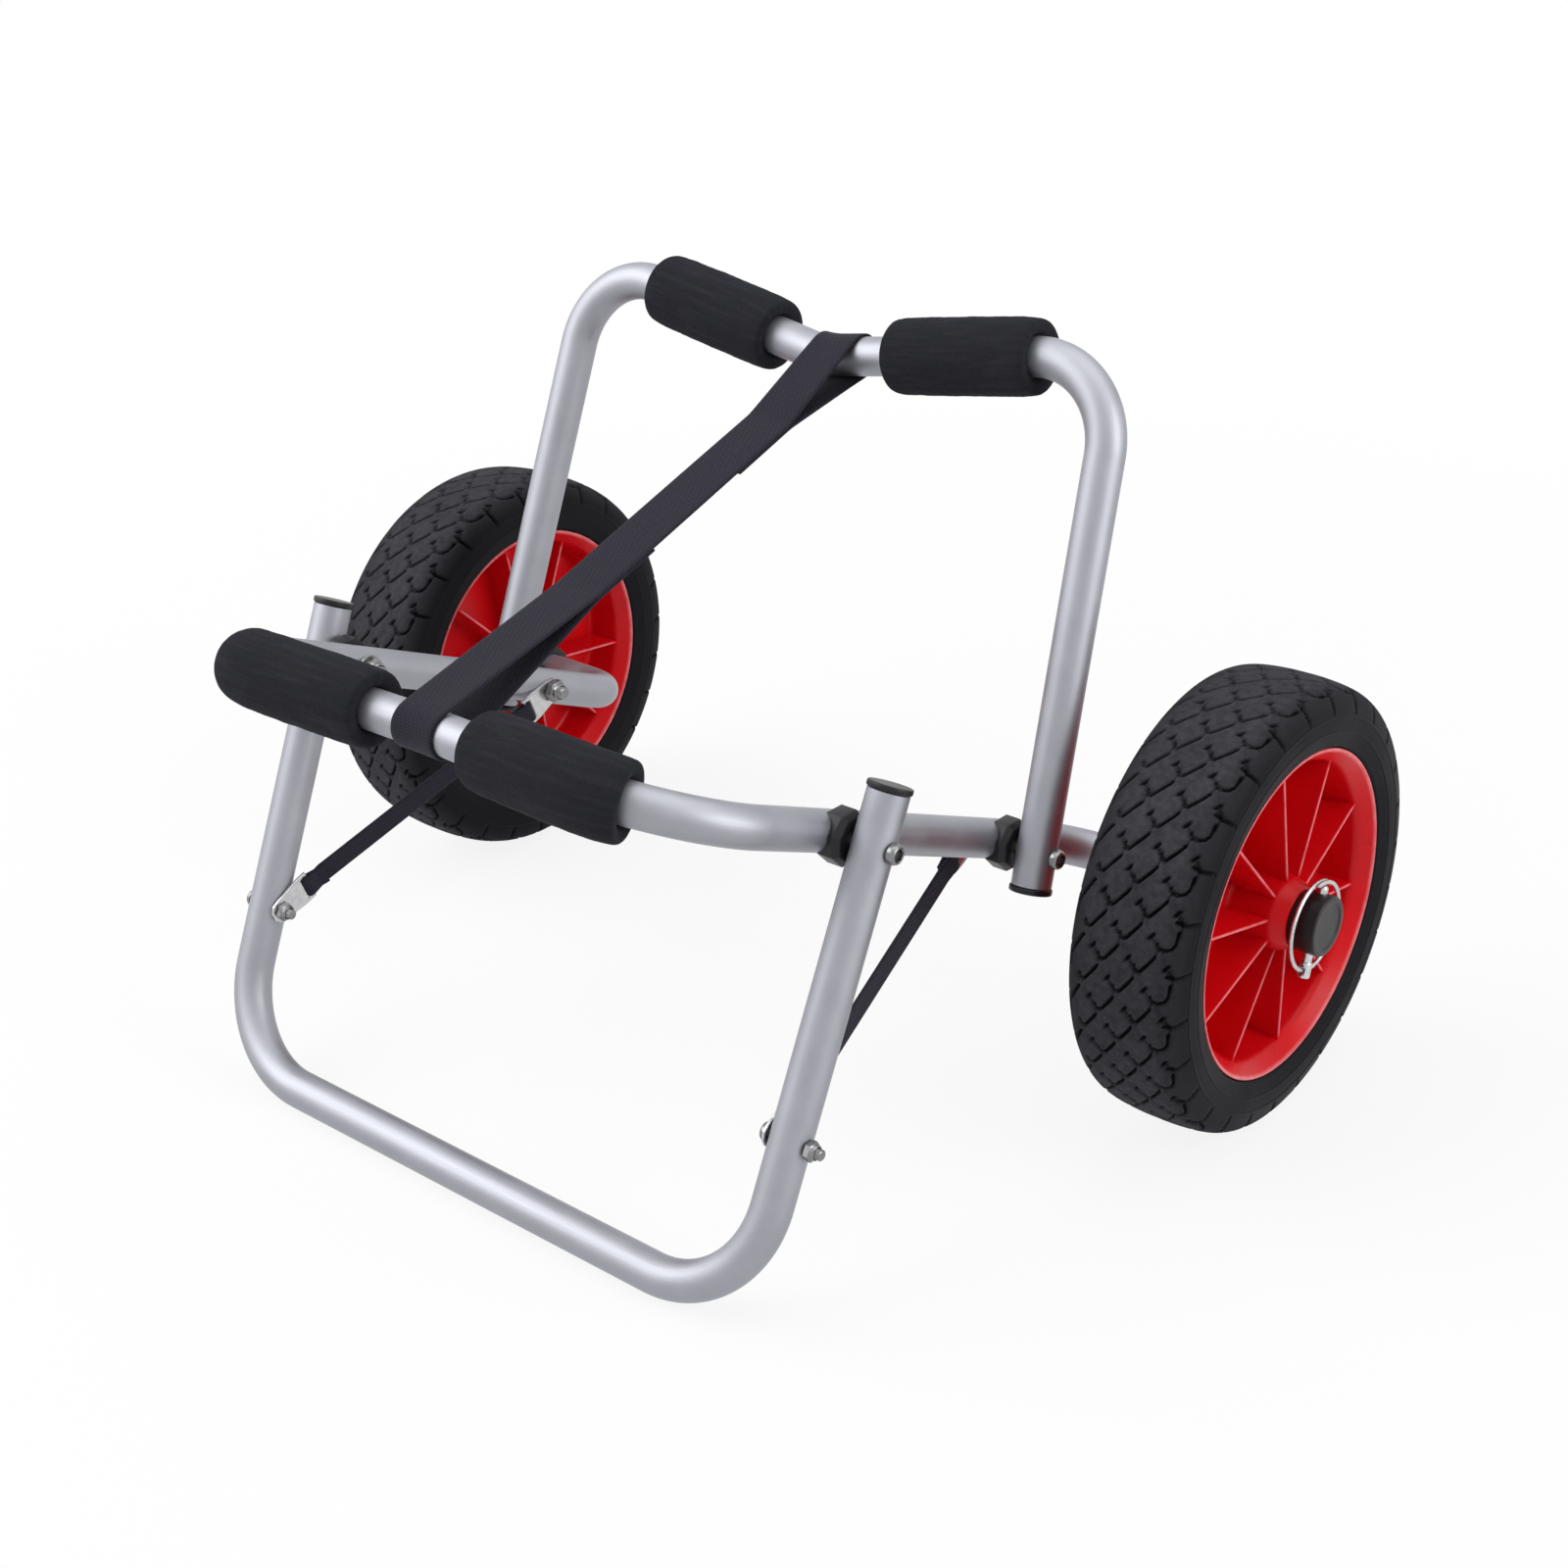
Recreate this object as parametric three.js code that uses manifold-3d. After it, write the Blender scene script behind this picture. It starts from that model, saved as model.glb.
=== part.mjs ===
// Folding kayak cart: a padded cradle hoop on two wheels, with a hinged rear hoop and a stand.
// Millimetres and degrees. X runs along the axle, -Y towards the stand, +Z up, z = 0 the ground.

import * as THREE from "three";
import { mergeVertices } from "three/addons/utils/BufferGeometryUtils.js";
import Module from "manifold-3d";

const wasm = await Module();
wasm.setup();

// Tubes
const TUBE_DIAMETER = 22.5;
const TUBE_WALL = 2;

// Cradle frame: the inner hoop, whose two rear ends bend outwards into the axle
const CRADLE_SLOPE = 25.5;
const CRADLE_ARM_LENGTH = 367;
const CRADLE_HALF_WIDTH = 178;
const CRADLE_BAR_DIP = 14;
const CRADLE_FRONT_BEND = 60;
const CRADLE_REAR_BEND = 38;
const CRADLE_DIP_BEND = 100;

// Rear frame: the tall outer hoop, leaning back
const REAR_PIVOT_DISTANCE = 85.5;
const REAR_LEAN = 21.5;
const REAR_LEG_LENGTH = 270;
const REAR_TAIL_LENGTH = 18.5;
const REAR_CORNER_INSET = 15;
const REAR_BAR_DIP = 30.5;
const REAR_BEND = 48;
const REAR_DIP_BEND = 60;

// Stand: the lower outer hoop, reaching forward to the ground
const STAND_PIVOT_FROM_BAR = 123;
const STAND_LEAN = 26.5;
const STAND_TOP_LENGTH = 29;
const STAND_CORNER_INSET = 5.5;
const STAND_BEND = 62;
const STAND_STRAP_DROP = 155;

// Pivots: saddle blocks, bolts and nuts
const PIVOT_GAP = 6.5;
const SPACER_DIAMETER = 34;
const SPACER_WRAP = 7;
const SPACER_BEVEL = 3.2;
const PIVOT_BOLT_DIAMETER = 8;
const PIVOT_HEAD_DIAMETER = 13.5;
const PIVOT_HEAD_HEIGHT = 4.6;
const PIVOT_SOCKET_WIDTH = 5;
const PIVOT_SOCKET_DEPTH = 2.4;
const PIVOT_NUT_WIDTH = 13;
const PIVOT_NUT_HEIGHT = 8;
const WASHER_DIAMETER = 17;
const WASHER_THICKNESS = 1.6;
const BOLT_OVERHANG = 3;

// Strap bolts through the stand's legs
const STRAP_BOLT_DIAMETER = 6;
const STRAP_HEAD_DIAMETER = 11;
const STRAP_HEAD_HEIGHT = 3.4;
const STRAP_SOCKET_WIDTH = 4;
const STRAP_SOCKET_DEPTH = 2;
const STRAP_NUT_WIDTH = 10;
const STRAP_NUT_HEIGHT = 6;

// Foam sleeves
const FOAM_DIAMETER = 39.5;
const FOAM_EDGE = 4;
const CRADLE_FOAM_START = 37.5;
const CRADLE_FOAM_LENGTH = 101;
const REAR_FOAM_START = 44.5;
const REAR_FOAM_LENGTH = 95;

// Leg end caps
const LEG_CAP_DIAMETER = 24;
const LEG_CAP_THICKNESS = 3.6;
const LEG_CAP_EDGE = 0.8;
const LEG_CAP_PLUG_LENGTH = 8;

// Wheels
const WHEEL_DIAMETER = 260;
const WHEEL_OFFSET = 291.5;
const TYRE_WIDTH = 71;
const TYRE_SHOULDER = 4.2;
const TREAD_WIDTH = 60;
const TREAD_GROOVE_DEPTH = 3;
const TREAD_GROOVE_WIDTH = 3.4;
const TREAD_WAVE = 2.6;
const RIM_DIAMETER = 190;
const RIM_WIDTH = 66;
const RIM_LIP = 2.4;
const RIM_FLARE = 9;
const RIM_WALL = 4;
const RIM_WEB = 5;
const RIM_BARREL_DIAMETER = 172;
const RIM_TAPER = 3;
const RIM_RIB_THICKNESS = 2.4;
const RIM_RIB_DEPTH = 57;
const RIM_RIB_END_DEPTH = 50;
const RIM_RIB_TURN = { right: 3.7, left: 7.9 };
const HUB_DIAMETER = 42;
const HUB_TIP_DIAMETER = 34;
const HUB_LENGTH = 74;

// Axle fittings: inner collar, outer cap, cross pin and its wire ring
const COLLAR_DIAMETER = 32;
const COLLAR_LENGTH = 8;
const AXLE_CAP_DIAMETER = 34.5;
const AXLE_CAP_LENGTH = 16;
const AXLE_CAP_END = 2.4;
const AXLE_CAP_EDGE = 1;
const LOCK_PIN_DIAMETER = 6;
const LOCK_PIN_REACH = 24;
const LOCK_PIN_FROM_END = 8;
const LOCK_PIN_TILT = 20;
const LOCK_HEAD_DIAMETER = 9;
const LOCK_HEAD_HEIGHT = 9;
const LOCK_RING_DIAMETER = 54;
const LOCK_RING_WIRE = 2.6;

// Webbing
const HULL_STRAP_WIDTH = 30;
const WEBBING_THICKNESS = 1.8;
const CRADLE_LOOP_LENGTH = 118;
const REAR_LOOP_LENGTH = 66;
const HULL_STRAP_STITCH = 45;
const STAND_STRAP_WIDTH = 13.5;
const STAND_STRAP_STITCH = 10;

// Strap brackets
const BRACKET_THICKNESS = 1.6;
const BRACKET_LENGTH = 24.5;
const BRACKET_STRIP = 3.2;
const BRACKET_SIDE = 2.6;
const BRACKET_EYE_DIAMETER = 15;

// Clearances
const SEAT_GAP = 0.3;
const BOLT_CLEARANCE = 0.35;
const RUNNING_CLEARANCE = 0.4;
const WEBBING_CLEARANCE = 0.4;
const CUT_OVERRUN = 1;

// Facet counts
const TUBE_SIDES = 16;
const BORE_SIDES = 8;
const BEND_STEPS = 6;
const DIP_STEPS = 4;
const HOLE_SIDES = 8;
const ROUND_SIDES = 16;
const SMALL_SIDES = 10;
const WHEEL_STEPS = 36;
const RIM_STEPS = 30;
const RIB_COUNT = 10;
const RING_STEPS = 28;
const WIRE_SIDES = 6;
const HEX_SIDES = 6;
const SPACER_SIDES = 8;

// Sizes that follow from those above
const TUBE_RADIUS = TUBE_DIAMETER / 2;
const BORE_RADIUS = TUBE_RADIUS - TUBE_WALL;
const WHEEL_RADIUS = WHEEL_DIAMETER / 2;
const OUTER_HALF_WIDTH = CRADLE_HALF_WIDTH + TUBE_DIAMETER + PIVOT_GAP;
const REAR_CORNER_HALF_WIDTH = OUTER_HALF_WIDTH - REAR_CORNER_INSET;
const STAND_CORNER_HALF_WIDTH = OUTER_HALF_WIDTH - STAND_CORNER_INSET;
const STAND_PIVOT_DISTANCE = CRADLE_ARM_LENGTH - STAND_PIVOT_FROM_BAR;
const HUB_END = WHEEL_OFFSET + HUB_LENGTH / 2;
const AXLE_CAP_START = HUB_END + RUNNING_CLEARANCE;
const AXLE_CAP_TIP = AXLE_CAP_START + AXLE_CAP_LENGTH;
const AXLE_END = AXLE_CAP_TIP - AXLE_CAP_END - SEAT_GAP;
const LOCK_PIN_OFFSET = AXLE_CAP_TIP - LOCK_PIN_FROM_END;
const INNER_FACE = CRADLE_HALF_WIDTH - TUBE_RADIUS;

// Looks
const ALUMINIUM = { color: 0xc4c6cc, roughness: 0.34, metalness: 0.9 };
const BLACK_FOAM = { color: 0x17181c, roughness: 0.95, metalness: 0 };
const BLACK_PLASTIC = { color: 0x1d1e22, roughness: 0.5, metalness: 0 };
const TYRE_RUBBER = { color: 0x24262b, roughness: 0.75, metalness: 0 };
const RED_PLASTIC = { color: 0xd01015, roughness: 0.3, metalness: 0 };
const WEBBING = { color: 0x23242c, roughness: 0.9, metalness: 0 };
const ZINC_STEEL = { color: 0xd2d4d8, roughness: 0.25, metalness: 1 };

const X_AXIS = new THREE.Vector3(1, 0, 0);
const Y_AXIS = new THREE.Vector3(0, 1, 0);
const Z_AXIS = new THREE.Vector3(0, 0, 1);
const radians = THREE.MathUtils.degToRad;

// A closed geometry becomes a solid, with its faces turned outwards
function solid(geometry, matrix = new THREE.Matrix4()) {
  const bare = geometry.index ? geometry.toNonIndexed() : geometry.clone();
  bare.deleteAttribute("normal");
  bare.deleteAttribute("uv");
  bare.applyMatrix4(matrix);
  const merged = mergeVertices(bare);
  const points = merged.attributes.position.array;
  const corner = (i) => new THREE.Vector3().fromArray(points, 3 * i);
  const kept = [];
  let volume = 0;
  for (let i = 0; i < merged.index.count; i += 3) {
    const [a, b, c] = [0, 1, 2].map((k) => merged.index.getX(i + k));
    if (a === b || b === c || c === a) continue;
    kept.push(a, b, c);
    volume += corner(a).dot(corner(b).cross(corner(c)));
  }
  if (volume < 0) kept.reverse();
  const mesh = new wasm.Mesh({
    numProp: 3,
    vertProperties: new Float32Array(points),
    triVerts: new Uint32Array(kept),
  });
  return new wasm.Manifold(mesh);
}

function geometryOf(manifold) {
  const mesh = manifold.getMesh();
  const geometry = new THREE.BufferGeometry();
  geometry.setAttribute("position", new THREE.BufferAttribute(new Float32Array(mesh.vertProperties), 3));
  geometry.setIndex(new THREE.BufferAttribute(new Uint32Array(mesh.triVerts), 1));
  geometry.computeVertexNormals();
  return geometry;
}

function piece(name, manifold, look) {
  const mesh = new THREE.Mesh(geometryOf(manifold), new THREE.MeshStandardMaterial(look));
  mesh.name = name;
  return mesh;
}

function joined(solids) {
  return solids.reduce((whole, next) => whole.add(next));
}

// A shape made for the right side, or its mirror image for the left
function onSide(shape, side) {
  return side > 0 ? shape : shape.mirror([1, 0, 0]);
}

function at(x, y, z) {
  return new THREE.Matrix4().makeTranslation(x, y, z);
}

// The circle that clears a round of this radius, drawn with straight sides
function clearing(radius, sides) {
  return radius / Math.cos(Math.PI / sides);
}

function ringPoints(radius, sides) {
  return Array.from({ length: sides }, (_, k) => {
    const angle = (2 * Math.PI * (k + 1 / 2)) / sides;
    return new THREE.Vector2(radius * Math.cos(angle), radius * Math.sin(angle));
  });
}

// Turned piece: pairs of radius and place along X, closed on itself
function turned(profile, sides, place = 0) {
  const points = [...profile, profile[0]].map(([radius, along]) => new THREE.Vector2(radius, along));
  const lathe = new THREE.LatheGeometry(points, sides);
  const half = new THREE.Matrix4().makeRotationY(Math.PI / sides);
  const onX = new THREE.Matrix4().makeRotationZ(-Math.PI / 2);
  return solid(lathe, at(place, 0, 0).multiply(onX).multiply(half));
}

// Turned piece without a bore: the profile starts and ends on the axis
function turnedFull(profile, sides, place = 0) {
  const points = profile.map(([radius, along]) => new THREE.Vector2(radius, along));
  const onX = new THREE.Matrix4().makeRotationZ(-Math.PI / 2);
  return solid(new THREE.LatheGeometry(points, sides), at(place, 0, 0).multiply(onX));
}

function rodX(radius, from, to, sides, y = 0, z = 0) {
  const rod = new THREE.CylinderGeometry(radius, radius, Math.abs(to - from), sides);
  rod.rotateZ(Math.PI / 2);
  return solid(rod, at((from + to) / 2, y, z));
}

function rodAlong(axis, radius, from, to, sides) {
  const rod = new THREE.CylinderGeometry(radius, radius, Math.abs(to - from), sides);
  const turn = new THREE.Quaternion().setFromUnitVectors(Y_AXIS, axis);
  const middle = axis.clone().multiplyScalar((from + to) / 2);
  return solid(rod, new THREE.Matrix4().compose(middle, turn, new THREE.Vector3(1, 1, 1)));
}

// A bent tube's centre line: straight runs joined by round bends, ring places only where it turns
class BentRun extends THREE.Curve {
  constructor(corners, bends) {
    super();
    this.points = [corners[0].clone()];
    this.directions = [corners[1].clone().sub(corners[0]).normalize()];
    bends.forEach(({ radius, steps }, i) => this.addBend(corners.slice(i, i + 3), radius, steps));
    this.points.push(corners.at(-1).clone());
    this.directions.push(this.directions.at(-1).clone());
    this.normal = this.directions[0].clone().cross(this.directions[1 + bends[0].steps]).normalize();
    this.distances = [0];
    this.points.slice(1).forEach((p, i) => {
      this.distances.push(this.distances[i] + p.distanceTo(this.points[i]));
    });
  }
  addBend([before, corner, after], radius, steps) {
    const inward = corner.clone().sub(before).normalize();
    const outward = after.clone().sub(corner).normalize();
    const turn = inward.angleTo(outward);
    const axis = inward.clone().cross(outward).normalize();
    const start = corner.clone().addScaledVector(inward, -radius * Math.tan(turn / 2));
    const centre = start.clone().addScaledVector(axis.clone().cross(inward), radius);
    for (let k = 0; k <= steps; k += 1) {
      const angle = (turn * k) / steps;
      this.points.push(start.clone().sub(centre).applyAxisAngle(axis, angle).add(centre));
      this.directions.push(inward.clone().applyAxisAngle(axis, angle));
    }
  }
  knot(u) {
    return Math.round(u * (this.points.length - 1));
  }
  getPointAt(u, target = new THREE.Vector3()) {
    return target.copy(this.points[this.knot(u)]);
  }
  getTangentAt(u, target = new THREE.Vector3()) {
    return target.copy(this.directions[this.knot(u)]);
  }
  // Point and direction at a distance from the start, between the ring places
  placeAt(distance) {
    const next = this.distances.findIndex((d) => d > distance);
    const last = next - 1;
    const share = (distance - this.distances[last]) / (this.distances[next] - this.distances[last]);
    const point = this.points[last].clone().lerp(this.points[next], share);
    const direction = this.directions[last].clone().lerp(this.directions[next], share).normalize();
    return { point, direction };
  }
  get middle() {
    return this.points[(this.points.length - 1) / 2];
  }
}

function sweep(run, outerRadius, innerRadius = 0, sides = TUBE_SIDES, boreSides = BORE_SIDES) {
  const section = new THREE.Shape(ringPoints(outerRadius, sides));
  if (innerRadius > 0) section.holes.push(new THREE.Path(ringPoints(innerRadius, boreSides)));
  const steps = run.points.length - 1;
  return solid(new THREE.ExtrudeGeometry(section, { steps, extrudePath: run }));
}

function planePoint(x, z) {
  return new THREE.Vector3(x, 0, z);
}

// The cradle's hoop lies in its group's X and Y plane, the axle on Y = 0 and the bar towards -Y
function cradleRun() {
  const half = [
    new THREE.Vector3(AXLE_END, 0, 0),
    new THREE.Vector3(CRADLE_HALF_WIDTH, 0, 0),
    new THREE.Vector3(CRADLE_HALF_WIDTH, -CRADLE_ARM_LENGTH, 0),
  ];
  const dip = new THREE.Vector3(0, CRADLE_BAR_DIP - CRADLE_ARM_LENGTH, 0);
  const mirrored = half.map((p) => new THREE.Vector3(-p.x, p.y, p.z)).reverse();
  const sideBends = [
    { radius: CRADLE_REAR_BEND, steps: BEND_STEPS },
    { radius: CRADLE_FRONT_BEND, steps: BEND_STEPS },
  ];
  const bends = [...sideBends, { radius: CRADLE_DIP_BEND, steps: DIP_STEPS }, ...sideBends.toReversed()];
  return new BentRun([...half, dip, ...mirrored], bends);
}

// A leg's half width changes evenly from the pivot to the corner
function legHalfWidth(cornerHalfWidth, cornerDistance, distance) {
  return OUTER_HALF_WIDTH + ((cornerHalfWidth - OUTER_HALF_WIDTH) * distance) / cornerDistance;
}

// The rear hoop stands in its group's X and Z plane, its pivot at the origin
function rearRun() {
  const foot = legHalfWidth(REAR_CORNER_HALF_WIDTH, REAR_LEG_LENGTH, -REAR_TAIL_LENGTH);
  const half = [planePoint(foot, -REAR_TAIL_LENGTH), planePoint(REAR_CORNER_HALF_WIDTH, REAR_LEG_LENGTH)];
  const dip = planePoint(0, REAR_LEG_LENGTH - REAR_BAR_DIP);
  const mirrored = half.map((p) => planePoint(-p.x, p.z)).reverse();
  const corner = { radius: REAR_BEND, steps: BEND_STEPS };
  const dipBend = { radius: REAR_DIP_BEND, steps: DIP_STEPS };
  return new BentRun([...half, dip, ...mirrored], [corner, dipBend, corner]);
}

function pivotHeight(distance) {
  return WHEEL_RADIUS + distance * Math.sin(radians(CRADLE_SLOPE));
}

function standLegLength() {
  return (pivotHeight(STAND_PIVOT_DISTANCE) - TUBE_RADIUS) / Math.cos(radians(STAND_LEAN));
}

function standRun() {
  const length = standLegLength();
  const top = legHalfWidth(STAND_CORNER_HALF_WIDTH, length, -STAND_TOP_LENGTH);
  const half = [planePoint(top, STAND_TOP_LENGTH), planePoint(STAND_CORNER_HALF_WIDTH, -length)];
  const mirrored = half.map((p) => planePoint(-p.x, p.z)).reverse();
  const corner = { radius: STAND_BEND, steps: BEND_STEPS };
  return new BentRun([...half, ...mirrored], [corner, corner]);
}

// A cross hole through both walls of the tube at this half width
function crossHole(diameter, halfWidth, side, y = 0, z = 0) {
  const reach = TUBE_RADIUS + CUT_OVERRUN;
  const radius = clearing(diameter / 2 + BOLT_CLEARANCE, HOLE_SIDES);
  return rodX(radius, side * (halfWidth - reach), side * (halfWidth + reach), HOLE_SIDES, y, z);
}

function pinAxis() {
  return Z_AXIS.clone().applyAxisAngle(X_AXIS, radians(-LOCK_PIN_TILT));
}

// Hole for the cross pin, in a frame whose X axis is the axle and whose Z axis is upright
function pinHole(side) {
  const radius = clearing(LOCK_PIN_DIAMETER / 2 + BOLT_CLEARANCE, HOLE_SIDES);
  const reach = AXLE_CAP_DIAMETER / 2 + CUT_OVERRUN;
  return rodAlong(pinAxis(), radius, -reach, reach, HOLE_SIDES).translate([side * LOCK_PIN_OFFSET, 0, 0]);
}

// The same hole in the cradle's turned frame
function pinHoleInCradle(side) {
  return pinHole(side).rotate([CRADLE_SLOPE, 0, 0]);
}

const sides = [
  { side: 1, label: "right" },
  { side: -1, label: "left" },
];

function cradleFrame() {
  const holes = sides.flatMap(({ side }) => [
    crossHole(PIVOT_BOLT_DIAMETER, CRADLE_HALF_WIDTH, side, -REAR_PIVOT_DISTANCE),
    crossHole(PIVOT_BOLT_DIAMETER, CRADLE_HALF_WIDTH, side, -STAND_PIVOT_DISTANCE),
    pinHoleInCradle(side),
  ]);
  return sweep(cradleRun(), TUBE_RADIUS, BORE_RADIUS).subtract(joined(holes));
}

function rearFrame() {
  const holes = sides.map(({ side }) => crossHole(PIVOT_BOLT_DIAMETER, OUTER_HALF_WIDTH, side));
  return sweep(rearRun(), TUBE_RADIUS, BORE_RADIUS).subtract(joined(holes));
}

function standFrame() {
  const strapHalfWidth = legHalfWidth(STAND_CORNER_HALF_WIDTH, standLegLength(), STAND_STRAP_DROP);
  const holes = sides.flatMap(({ side }) => [
    crossHole(PIVOT_BOLT_DIAMETER, OUTER_HALF_WIDTH, side),
    crossHole(STRAP_BOLT_DIAMETER, strapHalfWidth, side, 0, -STAND_STRAP_DROP),
  ]);
  return sweep(standRun(), TUBE_RADIUS, BORE_RADIUS).subtract(joined(holes));
}

// The distance along a run, from its start, of the point with this x
function distanceAtX(run, x) {
  const i = run.points.findIndex((p) => p.x < x);
  const [a, b] = [run.points[i - 1], run.points[i]];
  return run.distances[i - 1] + (a.distanceTo(b) * (a.x - x)) / (a.x - b.x);
}

// Foam sleeve: turned about a straight line, then bent along the bar, from start outwards
function foamSleeve(run, start, length) {
  const outer = FOAM_DIAMETER / 2;
  const bore = clearing(TUBE_RADIUS + RUNNING_CLEARANCE, TUBE_SIDES);
  const soft = FOAM_EDGE * (1 - Math.SQRT1_2);
  const from = distanceAtX(run, start);
  const clear = FOAM_EDGE * 2;
  const knots = run.distances.map((d) => from - d).filter((d) => d > clear && d < length - clear);
  const profile = [
    [bore, 0],
    [outer - FOAM_EDGE, 0],
    [outer - soft, soft],
    [outer, FOAM_EDGE],
    ...knots.toReversed().map((d) => [outer, d]),
    [outer, length - FOAM_EDGE],
    [outer - soft, length - soft],
    [outer - FOAM_EDGE, length],
    [bore, length],
    ...knots.map((d) => [bore, d]),
    [bore, 0],
  ].map(([radius, along]) => new THREE.Vector2(radius, along));
  const lathe = new THREE.LatheGeometry(profile, TUBE_SIDES);
  lathe.rotateY(Math.PI / TUBE_SIDES);
  const position = lathe.attributes.position;
  for (let i = 0; i < position.count; i += 1) {
    const place = run.placeAt(from - position.getY(i));
    const across = place.direction.clone().cross(run.normal);
    const point = place.point.addScaledVector(across, position.getX(i));
    point.addScaledVector(run.normal, position.getZ(i));
    position.setXYZ(i, point.x, point.y, point.z);
  }
  return solid(lathe);
}

// Saddle block: hugs the cradle's arm, its flat outer face clear of the leg's inward lean
function spacer(side, cornerHalfWidth, cornerDistance) {
  const inner = CRADLE_HALF_WIDTH + TUBE_RADIUS - SPACER_WRAP;
  const leanIn = OUTER_HALF_WIDTH - legHalfWidth(cornerHalfWidth, cornerDistance, SPACER_DIAMETER / 2);
  const outer = OUTER_HALF_WIDTH - TUBE_RADIUS - SEAT_GAP - leanIn;
  const radius = clearing(SPACER_DIAMETER / 2, SPACER_SIDES);
  const blank = turnedFull(
    [
      [0, inner],
      [radius, inner],
      [radius, outer - SPACER_BEVEL],
      [radius - SPACER_BEVEL, outer],
      [0, outer],
    ],
    SPACER_SIDES,
  );
  const arm = new THREE.CylinderGeometry(1, 1, (radius + CUT_OVERRUN) * 2, TUBE_SIDES);
  const armRadius = clearing(TUBE_RADIUS + SEAT_GAP, TUBE_SIDES);
  arm.scale(armRadius, 1, armRadius);
  const saddle = solid(arm, at(CRADLE_HALF_WIDTH, 0, 0));
  const hole = crossHole(PIVOT_BOLT_DIAMETER, CRADLE_HALF_WIDTH + TUBE_DIAMETER, 1);
  return onSide(blank.subtract(saddle).subtract(hole), side);
}

// Round head with a six-sided socket, its flat side at x = 0 and its crown towards +X
function socketHead(diameter, height, socketWidth, socketDepth) {
  const radius = diameter / 2;
  const head = turnedFull(
    [
      [0, 0],
      [radius, 0],
      [radius, height / 2],
      [radius * Math.SQRT1_2, height],
      [0, height],
    ],
    ROUND_SIDES,
  );
  const socketRadius = clearing(socketWidth / 2, HEX_SIDES);
  return head.subtract(rodX(socketRadius, height - socketDepth, height + CUT_OVERRUN, HEX_SIDES));
}

// Bolt along X from its head's flat side at x = 0, the shank towards -X
function bolt(head, diameter, length) {
  const shank = rodX(diameter / 2, -length, CUT_OVERRUN / 2, SMALL_SIDES);
  return head.add(shank);
}

// Locking nut along X with a round collar, its seat at x = 0 and its collar towards -X
function lockNut(width, height, boltDiameter) {
  const body = height * (2 / 3);
  const hex = rodX(clearing(width / 2, HEX_SIDES), -body, 0, HEX_SIDES);
  const collar = rodX((width / 2) * Math.sqrt(3 / 4), -height, -body + CUT_OVERRUN / 2, SMALL_SIDES);
  const boreRadius = clearing(boltDiameter / 2 + SEAT_GAP, SMALL_SIDES);
  const bore = rodX(boreRadius, -height - CUT_OVERRUN, CUT_OVERRUN, SMALL_SIDES);
  return hex.add(collar).subtract(bore);
}

function washer(diameter, thickness, boltDiameter) {
  const bore = clearing(boltDiameter / 2 + SEAT_GAP, ROUND_SIDES);
  return turned(
    [
      [bore, 0],
      [diameter / 2, 0],
      [diameter / 2, thickness],
      [bore, thickness],
    ],
    ROUND_SIDES,
  );
}

// Cap for a leg's open end: a plug in the bore and a lid, facing +Z from z = 0
function legCap() {
  const plug = BORE_RADIUS * Math.cos(Math.PI / BORE_SIDES) - SEAT_GAP;
  const lid = LEG_CAP_DIAMETER / 2;
  const profile = [
    [0, -LEG_CAP_PLUG_LENGTH],
    [plug, -LEG_CAP_PLUG_LENGTH],
    [plug, SEAT_GAP],
    [lid, SEAT_GAP],
    [lid, LEG_CAP_THICKNESS - LEG_CAP_EDGE],
    [lid - LEG_CAP_EDGE, LEG_CAP_THICKNESS],
    [0, LEG_CAP_THICKNESS],
  ].map(([radius, along]) => new THREE.Vector2(radius, along));
  const upright = new THREE.Matrix4().makeRotationX(Math.PI / 2);
  return solid(new THREE.LatheGeometry(profile, ROUND_SIDES), upright);
}

function placeAlong(mesh, point, direction) {
  mesh.position.copy(point);
  mesh.quaternion.setFromUnitVectors(Z_AXIS, direction);
  return mesh;
}

// Tyre section in pairs of radius and place along X, then waves along the tread grooves
function tyreProfile() {
  const wide = TYRE_WIDTH / 2;
  const tread = TREAD_WIDTH / 2;
  const seat = RIM_WIDTH / 2;
  const bead = RIM_DIAMETER / 2 + RUNNING_CLEARANCE;
  const bed = RIM_BARREL_DIAMETER / 2 + RIM_WALL + RUNNING_CLEARANCE;
  const shoulder = WHEEL_RADIUS - TYRE_SHOULDER;
  const wall = shoulder - bead;
  const grooves = [1 / 5, 3 / 5].flatMap((placeShare) => {
    const middle = tread * placeShare;
    const crown = WHEEL_RADIUS - TYRE_SHOULDER * placeShare ** 3;
    return [
      { radius: crown, along: middle - TREAD_GROOVE_WIDTH / 2, wave: 1 },
      { radius: crown - TREAD_GROOVE_DEPTH, along: middle, wave: 1 },
      { radius: crown, along: middle + TREAD_GROOVE_WIDTH / 2, wave: 1 },
    ];
  });
  const outside = [
    ...grooves,
    { radius: shoulder, along: tread, wave: 1 },
    { radius: shoulder - TYRE_SHOULDER, along: (tread + wide) / 2, wave: 0 },
    { radius: bead + wall / 2, along: wide, wave: 0 },
    { radius: bead, along: seat, wave: 0 },
  ];
  const inside = [
    { radius: bead, along: seat - RIM_LIP, wave: 0 },
    { radius: bed, along: seat - RIM_FLARE, wave: 0 },
  ];
  const half = [...outside, ...inside];
  const mirrored = half.map((p) => ({ ...p, along: -p.along })).reverse();
  return [...half, ...mirrored];
}

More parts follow.
